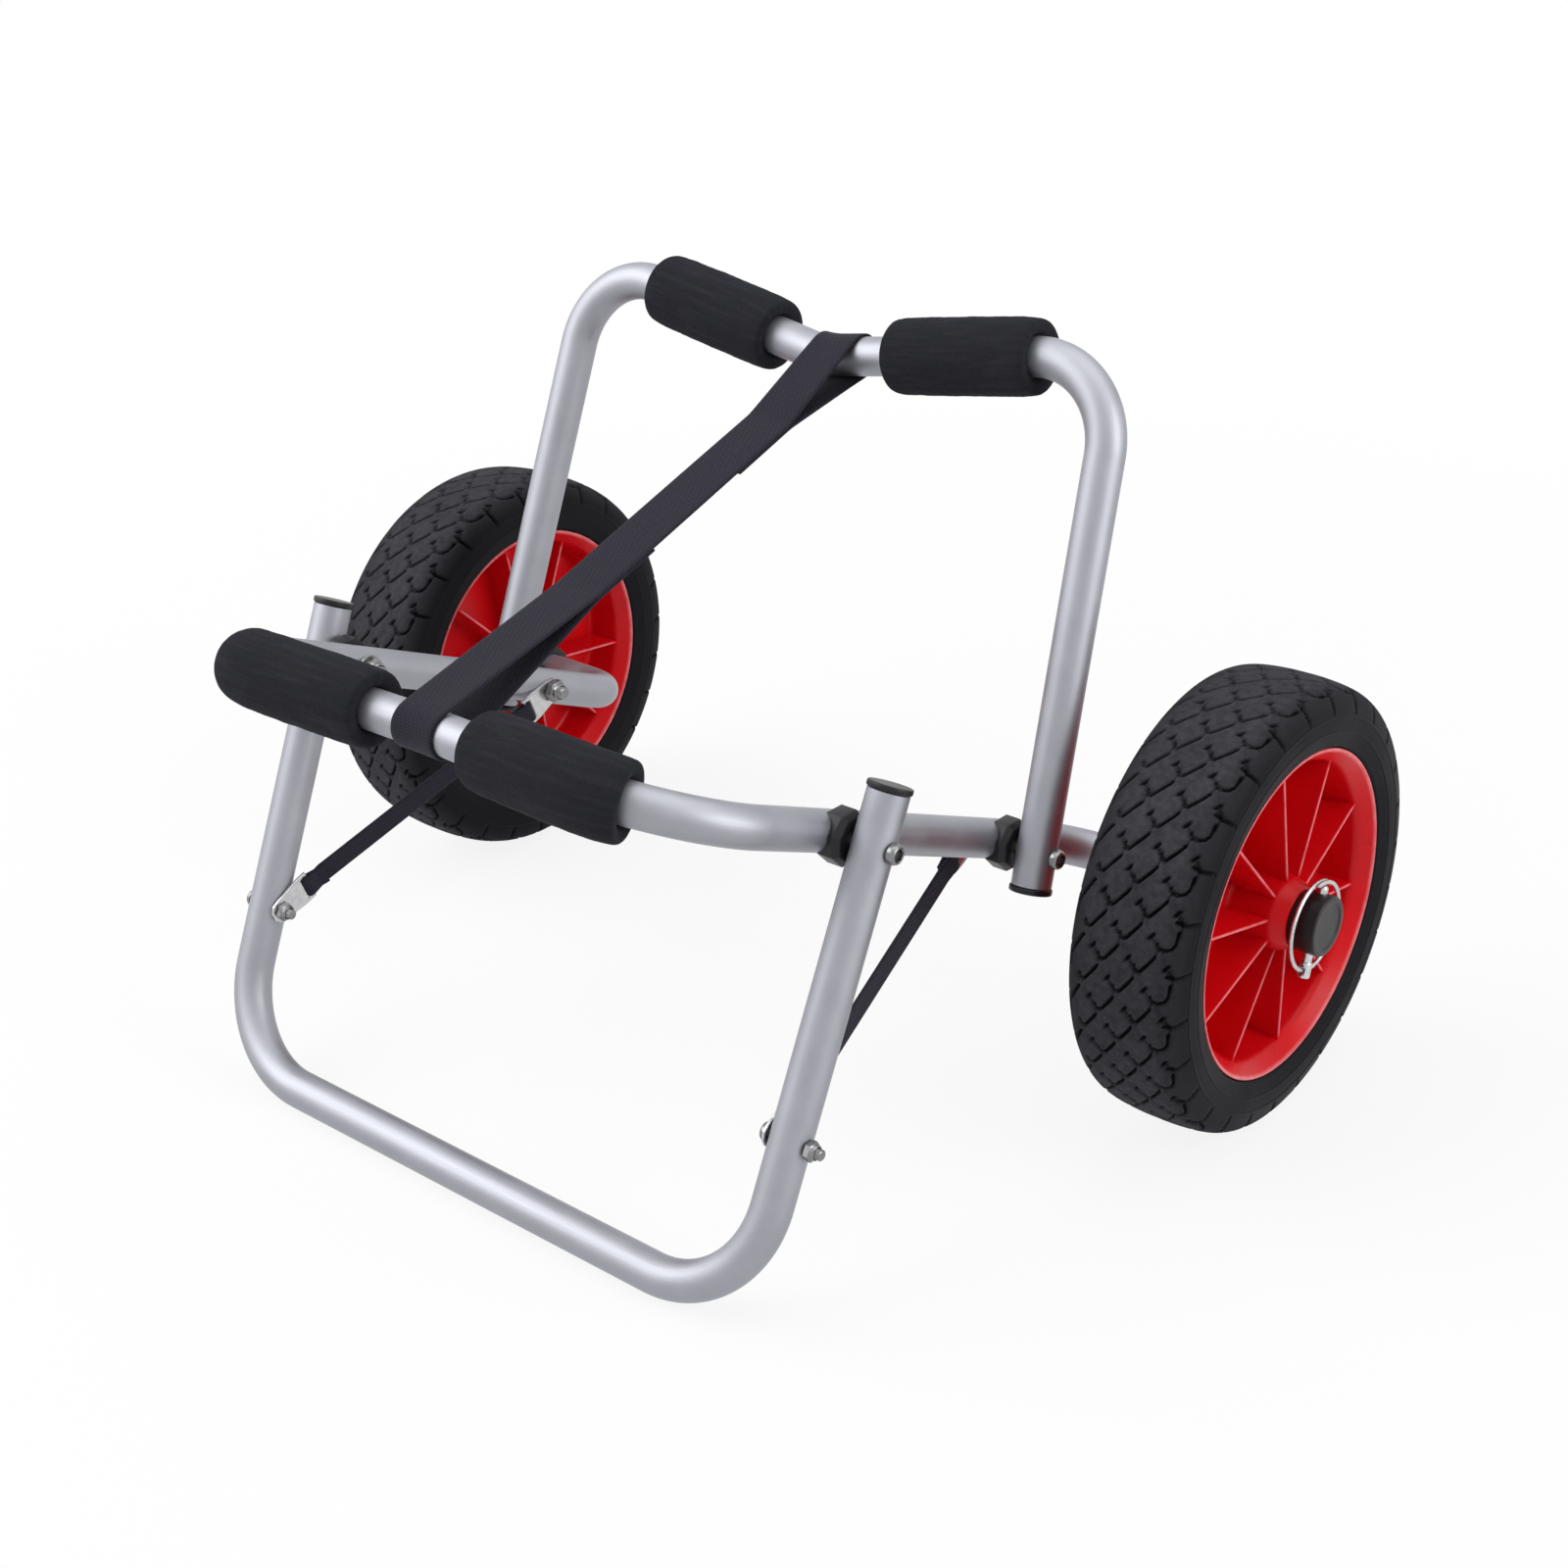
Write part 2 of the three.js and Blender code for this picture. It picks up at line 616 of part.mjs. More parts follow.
function tyre() {
  const profile = tyreProfile();
  const points = [...profile, profile[0]].map((p) => new THREE.Vector2(p.radius, p.along));
  const lathe = new THREE.LatheGeometry(points, WHEEL_STEPS);
  const position = lathe.attributes.position;
  const stretch = clearing(1, WHEEL_STEPS);
  for (let i = 0; i < position.count; i += 1) {
    const step = Math.floor(i / points.length) % WHEEL_STEPS;
    const entry = profile[(i % points.length) % profile.length];
    const wave = entry.wave * TREAD_WAVE * (step % 2 ? 1 / 2 : -1 / 2);
    const grow = entry.radius > RIM_DIAMETER / 2 ? stretch : 1;
    position.setXYZ(i, position.getX(i) * grow, position.getY(i) + wave, position.getZ(i) * grow);
  }
  const half = new THREE.Matrix4().makeRotationY(Math.PI / WHEEL_STEPS);
  return solid(lathe, new THREE.Matrix4().makeRotationZ(-Math.PI / 2).multiply(half));
}

// A pair of ribs, one on each face, lower at the barrel than at the hub
function rimRib(length) {
  const rib = new THREE.BoxGeometry(RIM_RIB_DEPTH, RIM_RIB_THICKNESS, length);
  const position = rib.attributes.position;
  for (let i = 0; i < position.count; i += 1) {
    const share = position.getZ(i) > 0 ? RIM_RIB_END_DEPTH / RIM_RIB_DEPTH : 1;
    position.setX(i, position.getX(i) * share);
  }
  return rib;
}

// One-piece rim: bore and hub, thin web, flared barrel and lips, with ribs on both faces
function rim(label) {
  const seat = RIM_WIDTH / 2;
  const lip = RIM_DIAMETER / 2;
  const barrel = RIM_BARREL_DIAMETER / 2;
  const ribHalf = RIM_RIB_DEPTH / 2;
  const bore = clearing(TUBE_RADIUS + RUNNING_CLEARANCE, RIM_STEPS);
  const half = [
    [bore, HUB_LENGTH / 2],
    [HUB_TIP_DIAMETER / 2, HUB_LENGTH / 2],
    [HUB_DIAMETER / 2, ribHalf],
    [HUB_DIAMETER / 2 + RIM_TAPER, RIM_WEB / 2],
    [barrel - RIM_TAPER, RIM_WEB / 2],
    [barrel, seat - RIM_FLARE],
    [lip - RIM_LIP, seat - RIM_LIP / 2],
    [lip, seat],
    [lip, seat - RIM_LIP],
    [barrel + RIM_WALL, seat - RIM_FLARE],
  ];
  const mirrored = half.map(([radius, along]) => [radius, -along]).reverse();
  const body = turned([...half, ...mirrored], RIM_STEPS);
  const from = HUB_DIAMETER / 2 - RIM_TAPER;
  const to = barrel + RIM_WALL / 2;
  const ribs = Array.from({ length: RIB_COUNT }, (_, k) => {
    const angle = radians(RIM_RIB_TURN[label]) + (2 * Math.PI * k) / RIB_COUNT;
    const turn = new THREE.Matrix4().makeRotationX(angle);
    return solid(rimRib(to - from), turn.multiply(at(0, 0, (from + to) / 2)));
  });
  return joined([body, ...ribs]);
}

function collar() {
  const bore = clearing(TUBE_RADIUS + SEAT_GAP, ROUND_SIDES);
  const radius = COLLAR_DIAMETER / 2;
  const profile = [
    [bore, 0],
    [radius, 0],
    [radius, COLLAR_LENGTH],
    [bore, COLLAR_LENGTH],
  ];
  return turned(profile, ROUND_SIDES, HUB_END - HUB_LENGTH - RUNNING_CLEARANCE - COLLAR_LENGTH);
}

// Cup over the axle's end, with a hole for the cross pin
function axleCap(side) {
  const bore = clearing(TUBE_RADIUS + SEAT_GAP, ROUND_SIDES);
  const radius = AXLE_CAP_DIAMETER / 2;
  const tip = AXLE_CAP_LENGTH;
  const cup = turnedFull(
    [
      [0, tip - AXLE_CAP_END],
      [bore, tip - AXLE_CAP_END],
      [bore, 0],
      [radius, 0],
      [radius, tip - AXLE_CAP_EDGE],
      [radius - AXLE_CAP_EDGE, tip],
      [0, tip],
    ],
    ROUND_SIDES,
    AXLE_CAP_START,
  );
  return onSide(cup, side).subtract(pinHole(side));
}

// The ring hangs in the pin's head, below the axle, and snaps round the axle's end
function lockRing(side) {
  const ring = new THREE.TorusGeometry(LOCK_RING_DIAMETER / 2, LOCK_RING_WIRE / 2, WIRE_SIDES, RING_STEPS);
  ring.rotateY(Math.PI / 2);
  return solid(ring, at(side * LOCK_PIN_OFFSET, 0, 0));
}

// Straight hole across the pin's head, wide enough for the wire's bow in every place of its swing
function ringHole(hinge) {
  const halfHead = LOCK_HEAD_DIAMETER / 2;
  const bow = hinge - Math.sqrt(hinge ** 2 - halfHead ** 2);
  const radius = clearing(LOCK_RING_WIRE / 2 + bow + BOLT_CLEARANCE, SMALL_SIDES);
  const reach = halfHead + CUT_OVERRUN;
  const across = X_AXIS.clone().cross(pinAxis());
  const middle = pinAxis().multiplyScalar(-hinge);
  return rodAlong(across, radius, -reach, reach, SMALL_SIDES).translate(middle.toArray());
}

function lockPin(side) {
  const hinge = LOCK_RING_DIAMETER / 2;
  const shank = rodAlong(pinAxis(), LOCK_PIN_DIAMETER / 2, -hinge, LOCK_PIN_REACH, SMALL_SIDES);
  const headFrom = -hinge - LOCK_HEAD_HEIGHT / 2;
  const headTo = -hinge + LOCK_HEAD_HEIGHT / 2;
  const head = rodAlong(pinAxis(), LOCK_HEAD_DIAMETER / 2, headFrom, headTo, ROUND_SIDES);
  return shank.add(head).subtract(ringHole(hinge)).translate([side * LOCK_PIN_OFFSET, 0, 0]);
}

// How far a dipped bar drops away from its middle over this distance to the side
function barRise(halfWidth, dip, dipBend, reach) {
  const slope = Math.atan2(dip, halfWidth);
  const round = Math.min(reach, dipBend * Math.sin(slope));
  const turn = Math.asin(round / dipBend);
  return dipBend * (1 - Math.cos(turn)) + (reach - round) * Math.tan(slope);
}

function extrudedAlongX(shape, width) {
  const slab = new THREE.ExtrudeGeometry(shape, { depth: width, bevelEnabled: false });
  const axes = new THREE.Matrix4().makeBasis(Y_AXIS, Z_AXIS, X_AXIS);
  return solid(slab, at(-width / 2, 0, 0).multiply(axes));
}

// Teardrop outline: a circle round a bar and its two tangents, meeting at the tip
function teardrop(centre, radius, tip) {
  const away = tip.clone().sub(centre);
  const heading = away.angle();
  const open = Math.acos(radius / away.length());
  const points = [tip.clone()];
  for (let k = 0; k <= ROUND_SIDES; k += 1) {
    const angle = heading + open + ((2 * Math.PI - 2 * open) * k) / ROUND_SIDES;
    points.push(new THREE.Vector2(Math.cos(angle), Math.sin(angle)).multiplyScalar(radius).add(centre));
  }
  return new THREE.Shape(points);
}

function band(from, to, thickness) {
  const across = to.clone().sub(from).normalize().rotateAround(new THREE.Vector2(), Math.PI / 2);
  across.multiplyScalar(thickness / 2);
  return new THREE.Shape([
    from.clone().add(across),
    to.clone().add(across),
    to.clone().sub(across),
    from.clone().sub(across),
  ]);
}

// Long strap from the cradle's bar to the rear bar, sewn into a loop round each
function hullStrap(cradleMiddle, rearMiddle, cradleAlong, rearAlong) {
  const reach = HULL_STRAP_WIDTH / 2;
  const loops = [
    {
      middle: cradleMiddle,
      along: cradleAlong,
      rise: barRise(CRADLE_HALF_WIDTH, CRADLE_BAR_DIP, CRADLE_DIP_BEND, reach),
      length: CRADLE_LOOP_LENGTH,
    },
    {
      middle: rearMiddle,
      along: rearAlong,
      rise: barRise(REAR_CORNER_HALF_WIDTH, REAR_BAR_DIP, REAR_DIP_BEND, reach),
      length: REAR_LOOP_LENGTH,
    },
  ];
  const centres = loops.map(({ middle, along, rise }) => middle.clone().addScaledVector(along, rise / 2));
  const run = centres[1].clone().sub(centres[0]).normalize();
  const ways = [run, run.clone().negate()];
  const parts = [extrudedAlongX(band(centres[0], centres[1], WEBBING_THICKNESS), HULL_STRAP_WIDTH)];
  const cuts = [];
  loops.forEach(({ rise, length }, i) => {
    const inner = TUBE_RADIUS + WEBBING_CLEARANCE + rise / 2;
    const tip = centres[i].clone().addScaledVector(ways[i], length);
    const outerTip = centres[i].clone().addScaledVector(ways[i], length + WEBBING_THICKNESS * 2);
    const sewn = tip.clone().addScaledVector(ways[i], HULL_STRAP_STITCH);
    parts.push(extrudedAlongX(teardrop(centres[i], inner + WEBBING_THICKNESS, outerTip), HULL_STRAP_WIDTH));
    parts.push(extrudedAlongX(band(tip, sewn, WEBBING_THICKNESS * 2), HULL_STRAP_WIDTH));
    const past = HULL_STRAP_WIDTH + CUT_OVERRUN * 2;
    cuts.push(extrudedAlongX(teardrop(centres[i], inner, tip), past));
  });
  return joined(parts).subtract(joined(cuts));
}

// Bracket in the Y and Z plane: a bolt eye at the origin and a slotted end towards +Y
function strapBracket(boltDiameter) {
  const slot = WEBBING_THICKNESS + WEBBING_CLEARANCE * 2;
  const halfWidth = STAND_STRAP_WIDTH / 2 + WEBBING_CLEARANCE + BRACKET_SIDE;
  const eye = BRACKET_EYE_DIAMETER / 2;
  const shoulder = BRACKET_LENGTH - BRACKET_STRIP - slot - BRACKET_SIDE;
  const outline = [new THREE.Vector2(shoulder, halfWidth), new THREE.Vector2(BRACKET_LENGTH, halfWidth)];
  outline.push(new THREE.Vector2(BRACKET_LENGTH, -halfWidth), new THREE.Vector2(shoulder, -halfWidth));
  for (let k = 0; k <= SMALL_SIDES / 2; k += 1) {
    const angle = -Math.PI / 2 - (2 * Math.PI * k) / SMALL_SIDES;
    outline.push(new THREE.Vector2(eye * Math.cos(angle), eye * Math.sin(angle)));
  }
  const shape = new THREE.Shape(outline);
  const hole = ringPoints(clearing(boltDiameter / 2 + SEAT_GAP, SMALL_SIDES), SMALL_SIDES);
  shape.holes.push(new THREE.Path(hole));
  const slotEnd = BRACKET_LENGTH - BRACKET_STRIP;
  const slotHalf = STAND_STRAP_WIDTH / 2 + WEBBING_CLEARANCE;
  shape.holes.push(
    new THREE.Path([
      new THREE.Vector2(slotEnd - slot, -slotHalf),
      new THREE.Vector2(slotEnd, -slotHalf),
      new THREE.Vector2(slotEnd, slotHalf),
      new THREE.Vector2(slotEnd - slot, slotHalf),
    ]),
  );
  return extrudedAlongX(shape, BRACKET_THICKNESS);
}

// Stand strap in a frame whose +Y runs down the strap: sewn eyes round both brackets' end strips
function standStrap(length, startX, endX) {
  const grip = WEBBING_CLEARANCE + WEBBING_THICKNESS;
  const eyeLong = BRACKET_STRIP / 2 + grip;
  const eyeHigh = BRACKET_THICKNESS / 2 + grip;
  const ends = [
    { along: 0, across: startX, way: 1 },
    { along: length, across: endX, way: -1 },
  ];
  const shapes = [];
  const cuts = [];
  const centreAt = (along) => startX + ((endX - startX) * along) / length;
  ends.forEach(({ along, across, way }) => {
    const box = (halfLong, halfHigh) =>
      new THREE.Shape([
        new THREE.Vector2(along - halfLong, across - halfHigh),
        new THREE.Vector2(along + halfLong, across - halfHigh),
        new THREE.Vector2(along + halfLong, across + halfHigh),
        new THREE.Vector2(along - halfLong, across + halfHigh),
      ]);
    shapes.push(box(eyeLong, eyeHigh));
    cuts.push(box(eyeLong - WEBBING_THICKNESS, eyeHigh - WEBBING_THICKNESS));
    const stitchEnd = along + way * (eyeLong + STAND_STRAP_STITCH);
    const from = new THREE.Vector2(along, across);
    shapes.push(band(from, new THREE.Vector2(stitchEnd, centreAt(stitchEnd)), WEBBING_THICKNESS * 2));
  });
  shapes.push(band(new THREE.Vector2(0, startX), new THREE.Vector2(length, endX), WEBBING_THICKNESS));
  const width = STAND_STRAP_WIDTH;
  const axes = new THREE.Matrix4().makeBasis(Y_AXIS, X_AXIS, Z_AXIS);
  const slab = (shape, deep) => {
    const geometry = new THREE.ExtrudeGeometry(shape, { depth: deep, bevelEnabled: false });
    return solid(geometry, axes.clone().multiply(at(0, 0, -deep / 2)));
  };
  const body = joined(shapes.map((shape) => slab(shape, width)));
  return body.subtract(joined(cuts.map((shape) => slab(shape, width + CUT_OVERRUN * 2))));
}

function turnedGroup(angle, y, z) {
  const group = new THREE.Group();
  group.position.set(0, y, z);
  group.rotation.x = radians(angle);
  return group;
}

// Pivot bolt, washer and nut across one arm and one leg, the head outside
function pivotSet(prefix, label, side, distance, block, withWasher) {
  const group = new THREE.Group();
  group.position.set(0, -distance, 0);
  const headSeat = OUTER_HALF_WIDTH + TUBE_RADIUS + BOLT_CLEARANCE;
  const plateSeat = INNER_FACE - SEAT_GAP;
  const nutSeat = plateSeat - WASHER_THICKNESS - SEAT_GAP;
  const length = headSeat - nutSeat + PIVOT_NUT_HEIGHT + BOLT_OVERHANG;
  const head = socketHead(PIVOT_HEAD_DIAMETER, PIVOT_HEAD_HEIGHT, PIVOT_SOCKET_WIDTH, PIVOT_SOCKET_DEPTH);
  const nut = lockNut(PIVOT_NUT_WIDTH, PIVOT_NUT_HEIGHT, PIVOT_BOLT_DIAMETER);
  const pieces = [
    { part: "bolt", shape: bolt(head, PIVOT_BOLT_DIAMETER, length), x: headSeat },
    { part: "nut", shape: nut, x: nutSeat },
  ];
  if (withWasher) {
    const plate = washer(WASHER_DIAMETER, WASHER_THICKNESS, PIVOT_BOLT_DIAMETER);
    pieces.push({ part: "washer", shape: plate, x: plateSeat - WASHER_THICKNESS });
  }
  pieces.forEach(({ part, shape, x }) => {
    group.add(piece(`${prefix}_${part}_${label}`, onSide(shape.translate([x, 0, 0]), side), ZINC_STEEL));
  });
  group.add(piece(`${prefix}_spacer_${label}`, block, BLACK_PLASTIC));
  return group;
}

const root = new THREE.Group();
const cradle = turnedGroup(-CRADLE_SLOPE, 0, WHEEL_RADIUS);
const alongArm = new THREE.Vector3(0, -1, 0).applyAxisAngle(X_AXIS, radians(-CRADLE_SLOPE));
const onArm = (distance) => alongArm.clone().multiplyScalar(distance).add(cradle.position);
const rearPivot = onArm(REAR_PIVOT_DISTANCE);
const standPivot = onArm(STAND_PIVOT_DISTANCE);
const rear = turnedGroup(-REAR_LEAN, rearPivot.y, rearPivot.z);
const stand = turnedGroup(-STAND_LEAN, standPivot.y, standPivot.z);
root.add(cradle, rear, stand);

cradle.add(piece("cradle_frame", cradleFrame(), ALUMINIUM));
rear.add(piece("rear_frame", rearFrame(), ALUMINIUM));
stand.add(piece("stand_frame", standFrame(), ALUMINIUM));

const cradlePath = cradleRun();
const rearPath = rearRun();
const standPath = standRun();

// Where the stand strap's lower bolt crosses each leg, and the strap's own line in the Y and Z plane
const strapHalfWidth = legHalfWidth(STAND_CORNER_HALF_WIDTH, standLegLength(), STAND_STRAP_DROP);
const alongLeg = new THREE.Vector3(0, 0, -1).applyAxisAngle(X_AXIS, radians(-STAND_LEAN));
const strapBoltPoint = standPivot.clone().addScaledVector(alongLeg, STAND_STRAP_DROP);
const strapLine = strapBoltPoint.clone().sub(rearPivot);
const strapAngle = Math.atan2(strapLine.z, strapLine.y);
const stripMiddle = BRACKET_LENGTH - BRACKET_STRIP / 2;
const topPlateX = INNER_FACE - SEAT_GAP - BRACKET_THICKNESS / 2;
const lowPlateX = strapHalfWidth - TUBE_RADIUS - BOLT_CLEARANCE - BRACKET_THICKNESS / 2;

function strapFrame(point, angle) {
  const group = new THREE.Group();
  group.position.copy(point);
  group.rotation.x = angle;
  return group;
}

for (const { side, label } of sides) {
  const rearBlock = spacer(side, REAR_CORNER_HALF_WIDTH, REAR_LEG_LENGTH);
  const standBlock = spacer(side, STAND_CORNER_HALF_WIDTH, standLegLength());
  cradle.add(pivotSet("rear_pivot", label, side, REAR_PIVOT_DISTANCE, rearBlock, false));
  cradle.add(pivotSet("stand_pivot", label, side, STAND_PIVOT_DISTANCE, standBlock, true));
  const cradleFoam = foamSleeve(cradlePath, CRADLE_FOAM_START, CRADLE_FOAM_LENGTH);
  const rearFoam = foamSleeve(rearPath, REAR_FOAM_START, REAR_FOAM_LENGTH);
  cradle.add(piece(`cradle_grip_${label}`, onSide(cradleFoam, side), BLACK_FOAM));
  rear.add(piece(`rear_grip_${label}`, onSide(rearFoam, side), BLACK_FOAM));

  const rearEnd = side > 0 ? rearPath.points[0] : rearPath.points.at(-1);
  const rearWay = rearPath.directions[0].clone().negate();
  const standEnd = side > 0 ? standPath.points[0] : standPath.points.at(-1);
  const standWay = standPath.directions[0].clone().negate();
  if (side < 0) [rearWay, standWay].forEach((way) => way.setX(-way.x));
  rear.add(placeAlong(piece(`rear_leg_cap_${label}`, legCap(), BLACK_PLASTIC), rearEnd, rearWay));
  stand.add(placeAlong(piece(`stand_leg_cap_${label}`, legCap(), BLACK_PLASTIC), standEnd, standWay));

  const axle = turnedGroup(0, 0, WHEEL_RADIUS);
  axle.add(piece(`axle_collar_${label}`, onSide(collar(), side), BLACK_PLASTIC));
  axle.add(piece(`axle_cap_${label}`, axleCap(side), BLACK_PLASTIC));
  axle.add(piece(`lock_pin_${label}`, lockPin(side), ZINC_STEEL));
  axle.add(piece(`lock_ring_${label}`, lockRing(side), ZINC_STEEL));
  root.add(axle);

  const wheel = turnedGroup(0, 0, WHEEL_RADIUS);
  wheel.position.x = side * WHEEL_OFFSET;
  wheel.add(piece(`tyre_${label}`, tyre(), TYRE_RUBBER));
  wheel.add(piece(`rim_${label}`, rim(label), RED_PLASTIC));
  root.add(wheel);

  // The strap bolts of both sides point the same way, their heads towards -X
  const bracketOut = (boltDiameter, x) => strapBracket(boltDiameter).translate([side * x, 0, 0]);
  const top = strapFrame(rearPivot, strapAngle);
  top.add(piece(`strap_top_bracket_${label}`, bracketOut(PIVOT_BOLT_DIAMETER, topPlateX), ZINC_STEEL));
  const low = strapFrame(strapBoltPoint, strapAngle + Math.PI);
  low.add(piece(`strap_low_bracket_${label}`, bracketOut(STRAP_BOLT_DIAMETER, lowPlateX), ZINC_STEEL));
  const strapStart = rearPivot.clone().addScaledVector(strapLine.clone().normalize(), stripMiddle);
  const strapLength = strapLine.length() - stripMiddle * 2;
  const strap = strapFrame(strapStart, strapAngle);
  const strapShape = standStrap(strapLength, side * topPlateX, side * lowPlateX);
  strap.add(piece(`stand_strap_${label}`, strapShape, WEBBING));

  const bracketDepth = BOLT_CLEARANCE + BRACKET_THICKNESS + SEAT_GAP;
  const innerSeat = side * (strapHalfWidth - TUBE_RADIUS - bracketDepth);
  const outerSeat = side * (strapHalfWidth + TUBE_RADIUS + BOLT_CLEARANCE);
  const headSeat = Math.min(innerSeat, outerSeat);
  const nutSeat = Math.max(innerSeat, outerSeat);
  const head = socketHead(STRAP_HEAD_DIAMETER, STRAP_HEAD_HEIGHT, STRAP_SOCKET_WIDTH, STRAP_SOCKET_DEPTH);
  const strapBoltLength = nutSeat - headSeat + STRAP_NUT_HEIGHT + BOLT_OVERHANG;
  const strapBolt = bolt(head, STRAP_BOLT_DIAMETER, strapBoltLength).mirror([1, 0, 0]);
  const strapNut = lockNut(STRAP_NUT_WIDTH, STRAP_NUT_HEIGHT, STRAP_BOLT_DIAMETER).mirror([1, 0, 0]);
  const onBolt = strapFrame(strapBoltPoint, 0);
  onBolt.add(piece(`strap_bolt_${label}`, strapBolt.translate([headSeat, 0, 0]), ZINC_STEEL));
  onBolt.add(piece(`strap_nut_${label}`, strapNut.translate([nutSeat, 0, 0]), ZINC_STEEL));
  root.add(top, low, strap, onBolt);
}

// The long strap, in the upright Y and Z plane
const flat = (v) => new THREE.Vector2(v.y, v.z);
const tilted = (v, slope) => v.clone().applyAxisAngle(X_AXIS, radians(-slope));
const cradleMiddle = tilted(cradlePath.middle, CRADLE_SLOPE).add(cradle.position);
const rearMiddle = tilted(rearPath.middle, REAR_LEAN).add(rear.position);
const rearUp = Z_AXIS.clone().applyAxisAngle(X_AXIS, radians(-REAR_LEAN));
const strapEnds = [flat(cradleMiddle), flat(rearMiddle), flat(alongArm), flat(rearUp)];
root.add(piece("hull_strap", hullStrap(...strapEnds), WEBBING));

// The origin is the middle of the cart's footprint on the ground
const bounds = new THREE.Box3().setFromObject(root, true);
root.position.y = -(bounds.min.y + bounds.max.y) / 2;

export default root;
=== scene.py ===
"""Folding kayak cart: detailed pieces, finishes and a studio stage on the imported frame."""

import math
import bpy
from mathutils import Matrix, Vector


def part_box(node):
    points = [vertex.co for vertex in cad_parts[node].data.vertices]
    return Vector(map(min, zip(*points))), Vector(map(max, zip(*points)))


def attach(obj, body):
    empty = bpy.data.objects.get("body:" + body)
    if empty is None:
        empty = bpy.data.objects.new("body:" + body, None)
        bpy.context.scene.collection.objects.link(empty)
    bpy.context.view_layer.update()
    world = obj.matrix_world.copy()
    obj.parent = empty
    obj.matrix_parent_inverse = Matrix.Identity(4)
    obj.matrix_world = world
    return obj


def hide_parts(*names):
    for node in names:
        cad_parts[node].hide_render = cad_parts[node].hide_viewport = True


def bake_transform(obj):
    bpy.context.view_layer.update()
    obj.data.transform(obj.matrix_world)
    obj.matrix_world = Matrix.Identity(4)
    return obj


bl_info = {
    "name": "Kayak Cart",
    "version": (1, 0, 0),
    "blender": (4, 5, 0),
    "location": "View3D > Sidebar > Kayak Cart",
    "description": "Builds a folding kayak cart with foam grips, webbing straps and treaded wheels",
    "category": "Add Mesh",
}

import bmesh
import bpy
import numpy as np
from bpy.props import FloatProperty, FloatVectorProperty, IntProperty, PointerProperty
from mathutils import Matrix, Vector, noise

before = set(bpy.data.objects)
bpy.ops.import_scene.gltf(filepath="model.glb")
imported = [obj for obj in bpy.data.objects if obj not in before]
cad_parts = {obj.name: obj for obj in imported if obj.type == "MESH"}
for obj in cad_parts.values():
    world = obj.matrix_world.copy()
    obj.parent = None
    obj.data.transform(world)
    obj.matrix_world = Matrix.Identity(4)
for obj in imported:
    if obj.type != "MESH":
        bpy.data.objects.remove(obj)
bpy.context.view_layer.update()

SIDES = (("right", 1), ("left", -1))
X_AXIS = Vector((1, 0, 0))
COLLAR_LOW, COLLAR_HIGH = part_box("axle_collar_right")
AXLE = Vector((0, (COLLAR_LOW.y + COLLAR_HIGH.y) / 2, (COLLAR_LOW.z + COLLAR_HIGH.z) / 2))

# A rib's crest stands this high beside the hub and falls by so much to the barrel. Its ends are sunk
# into the hub and the barrel.
RIB_HIGH = 0.0285
RIB_FALL = 0.0035
RIB_SUNK = 0.003
RIB_PAST = 0.001


# Settings

def length(label, default, text):
    return FloatProperty(
        name=label, description=text, default=default, min=0.0, unit="LENGTH", precision=5
    )


def angle(label, degrees, text):
    return FloatProperty(name=label, description=text, default=math.radians(degrees), subtype="ANGLE")


def colour(label, default, text):
    return FloatVectorProperty(
        name=label, description=text, default=default, size=3, min=0.0, max=1.0, subtype="COLOR"
    )


def count(label, default, text):
    return IntProperty(name=label, description=text, default=default, min=1)


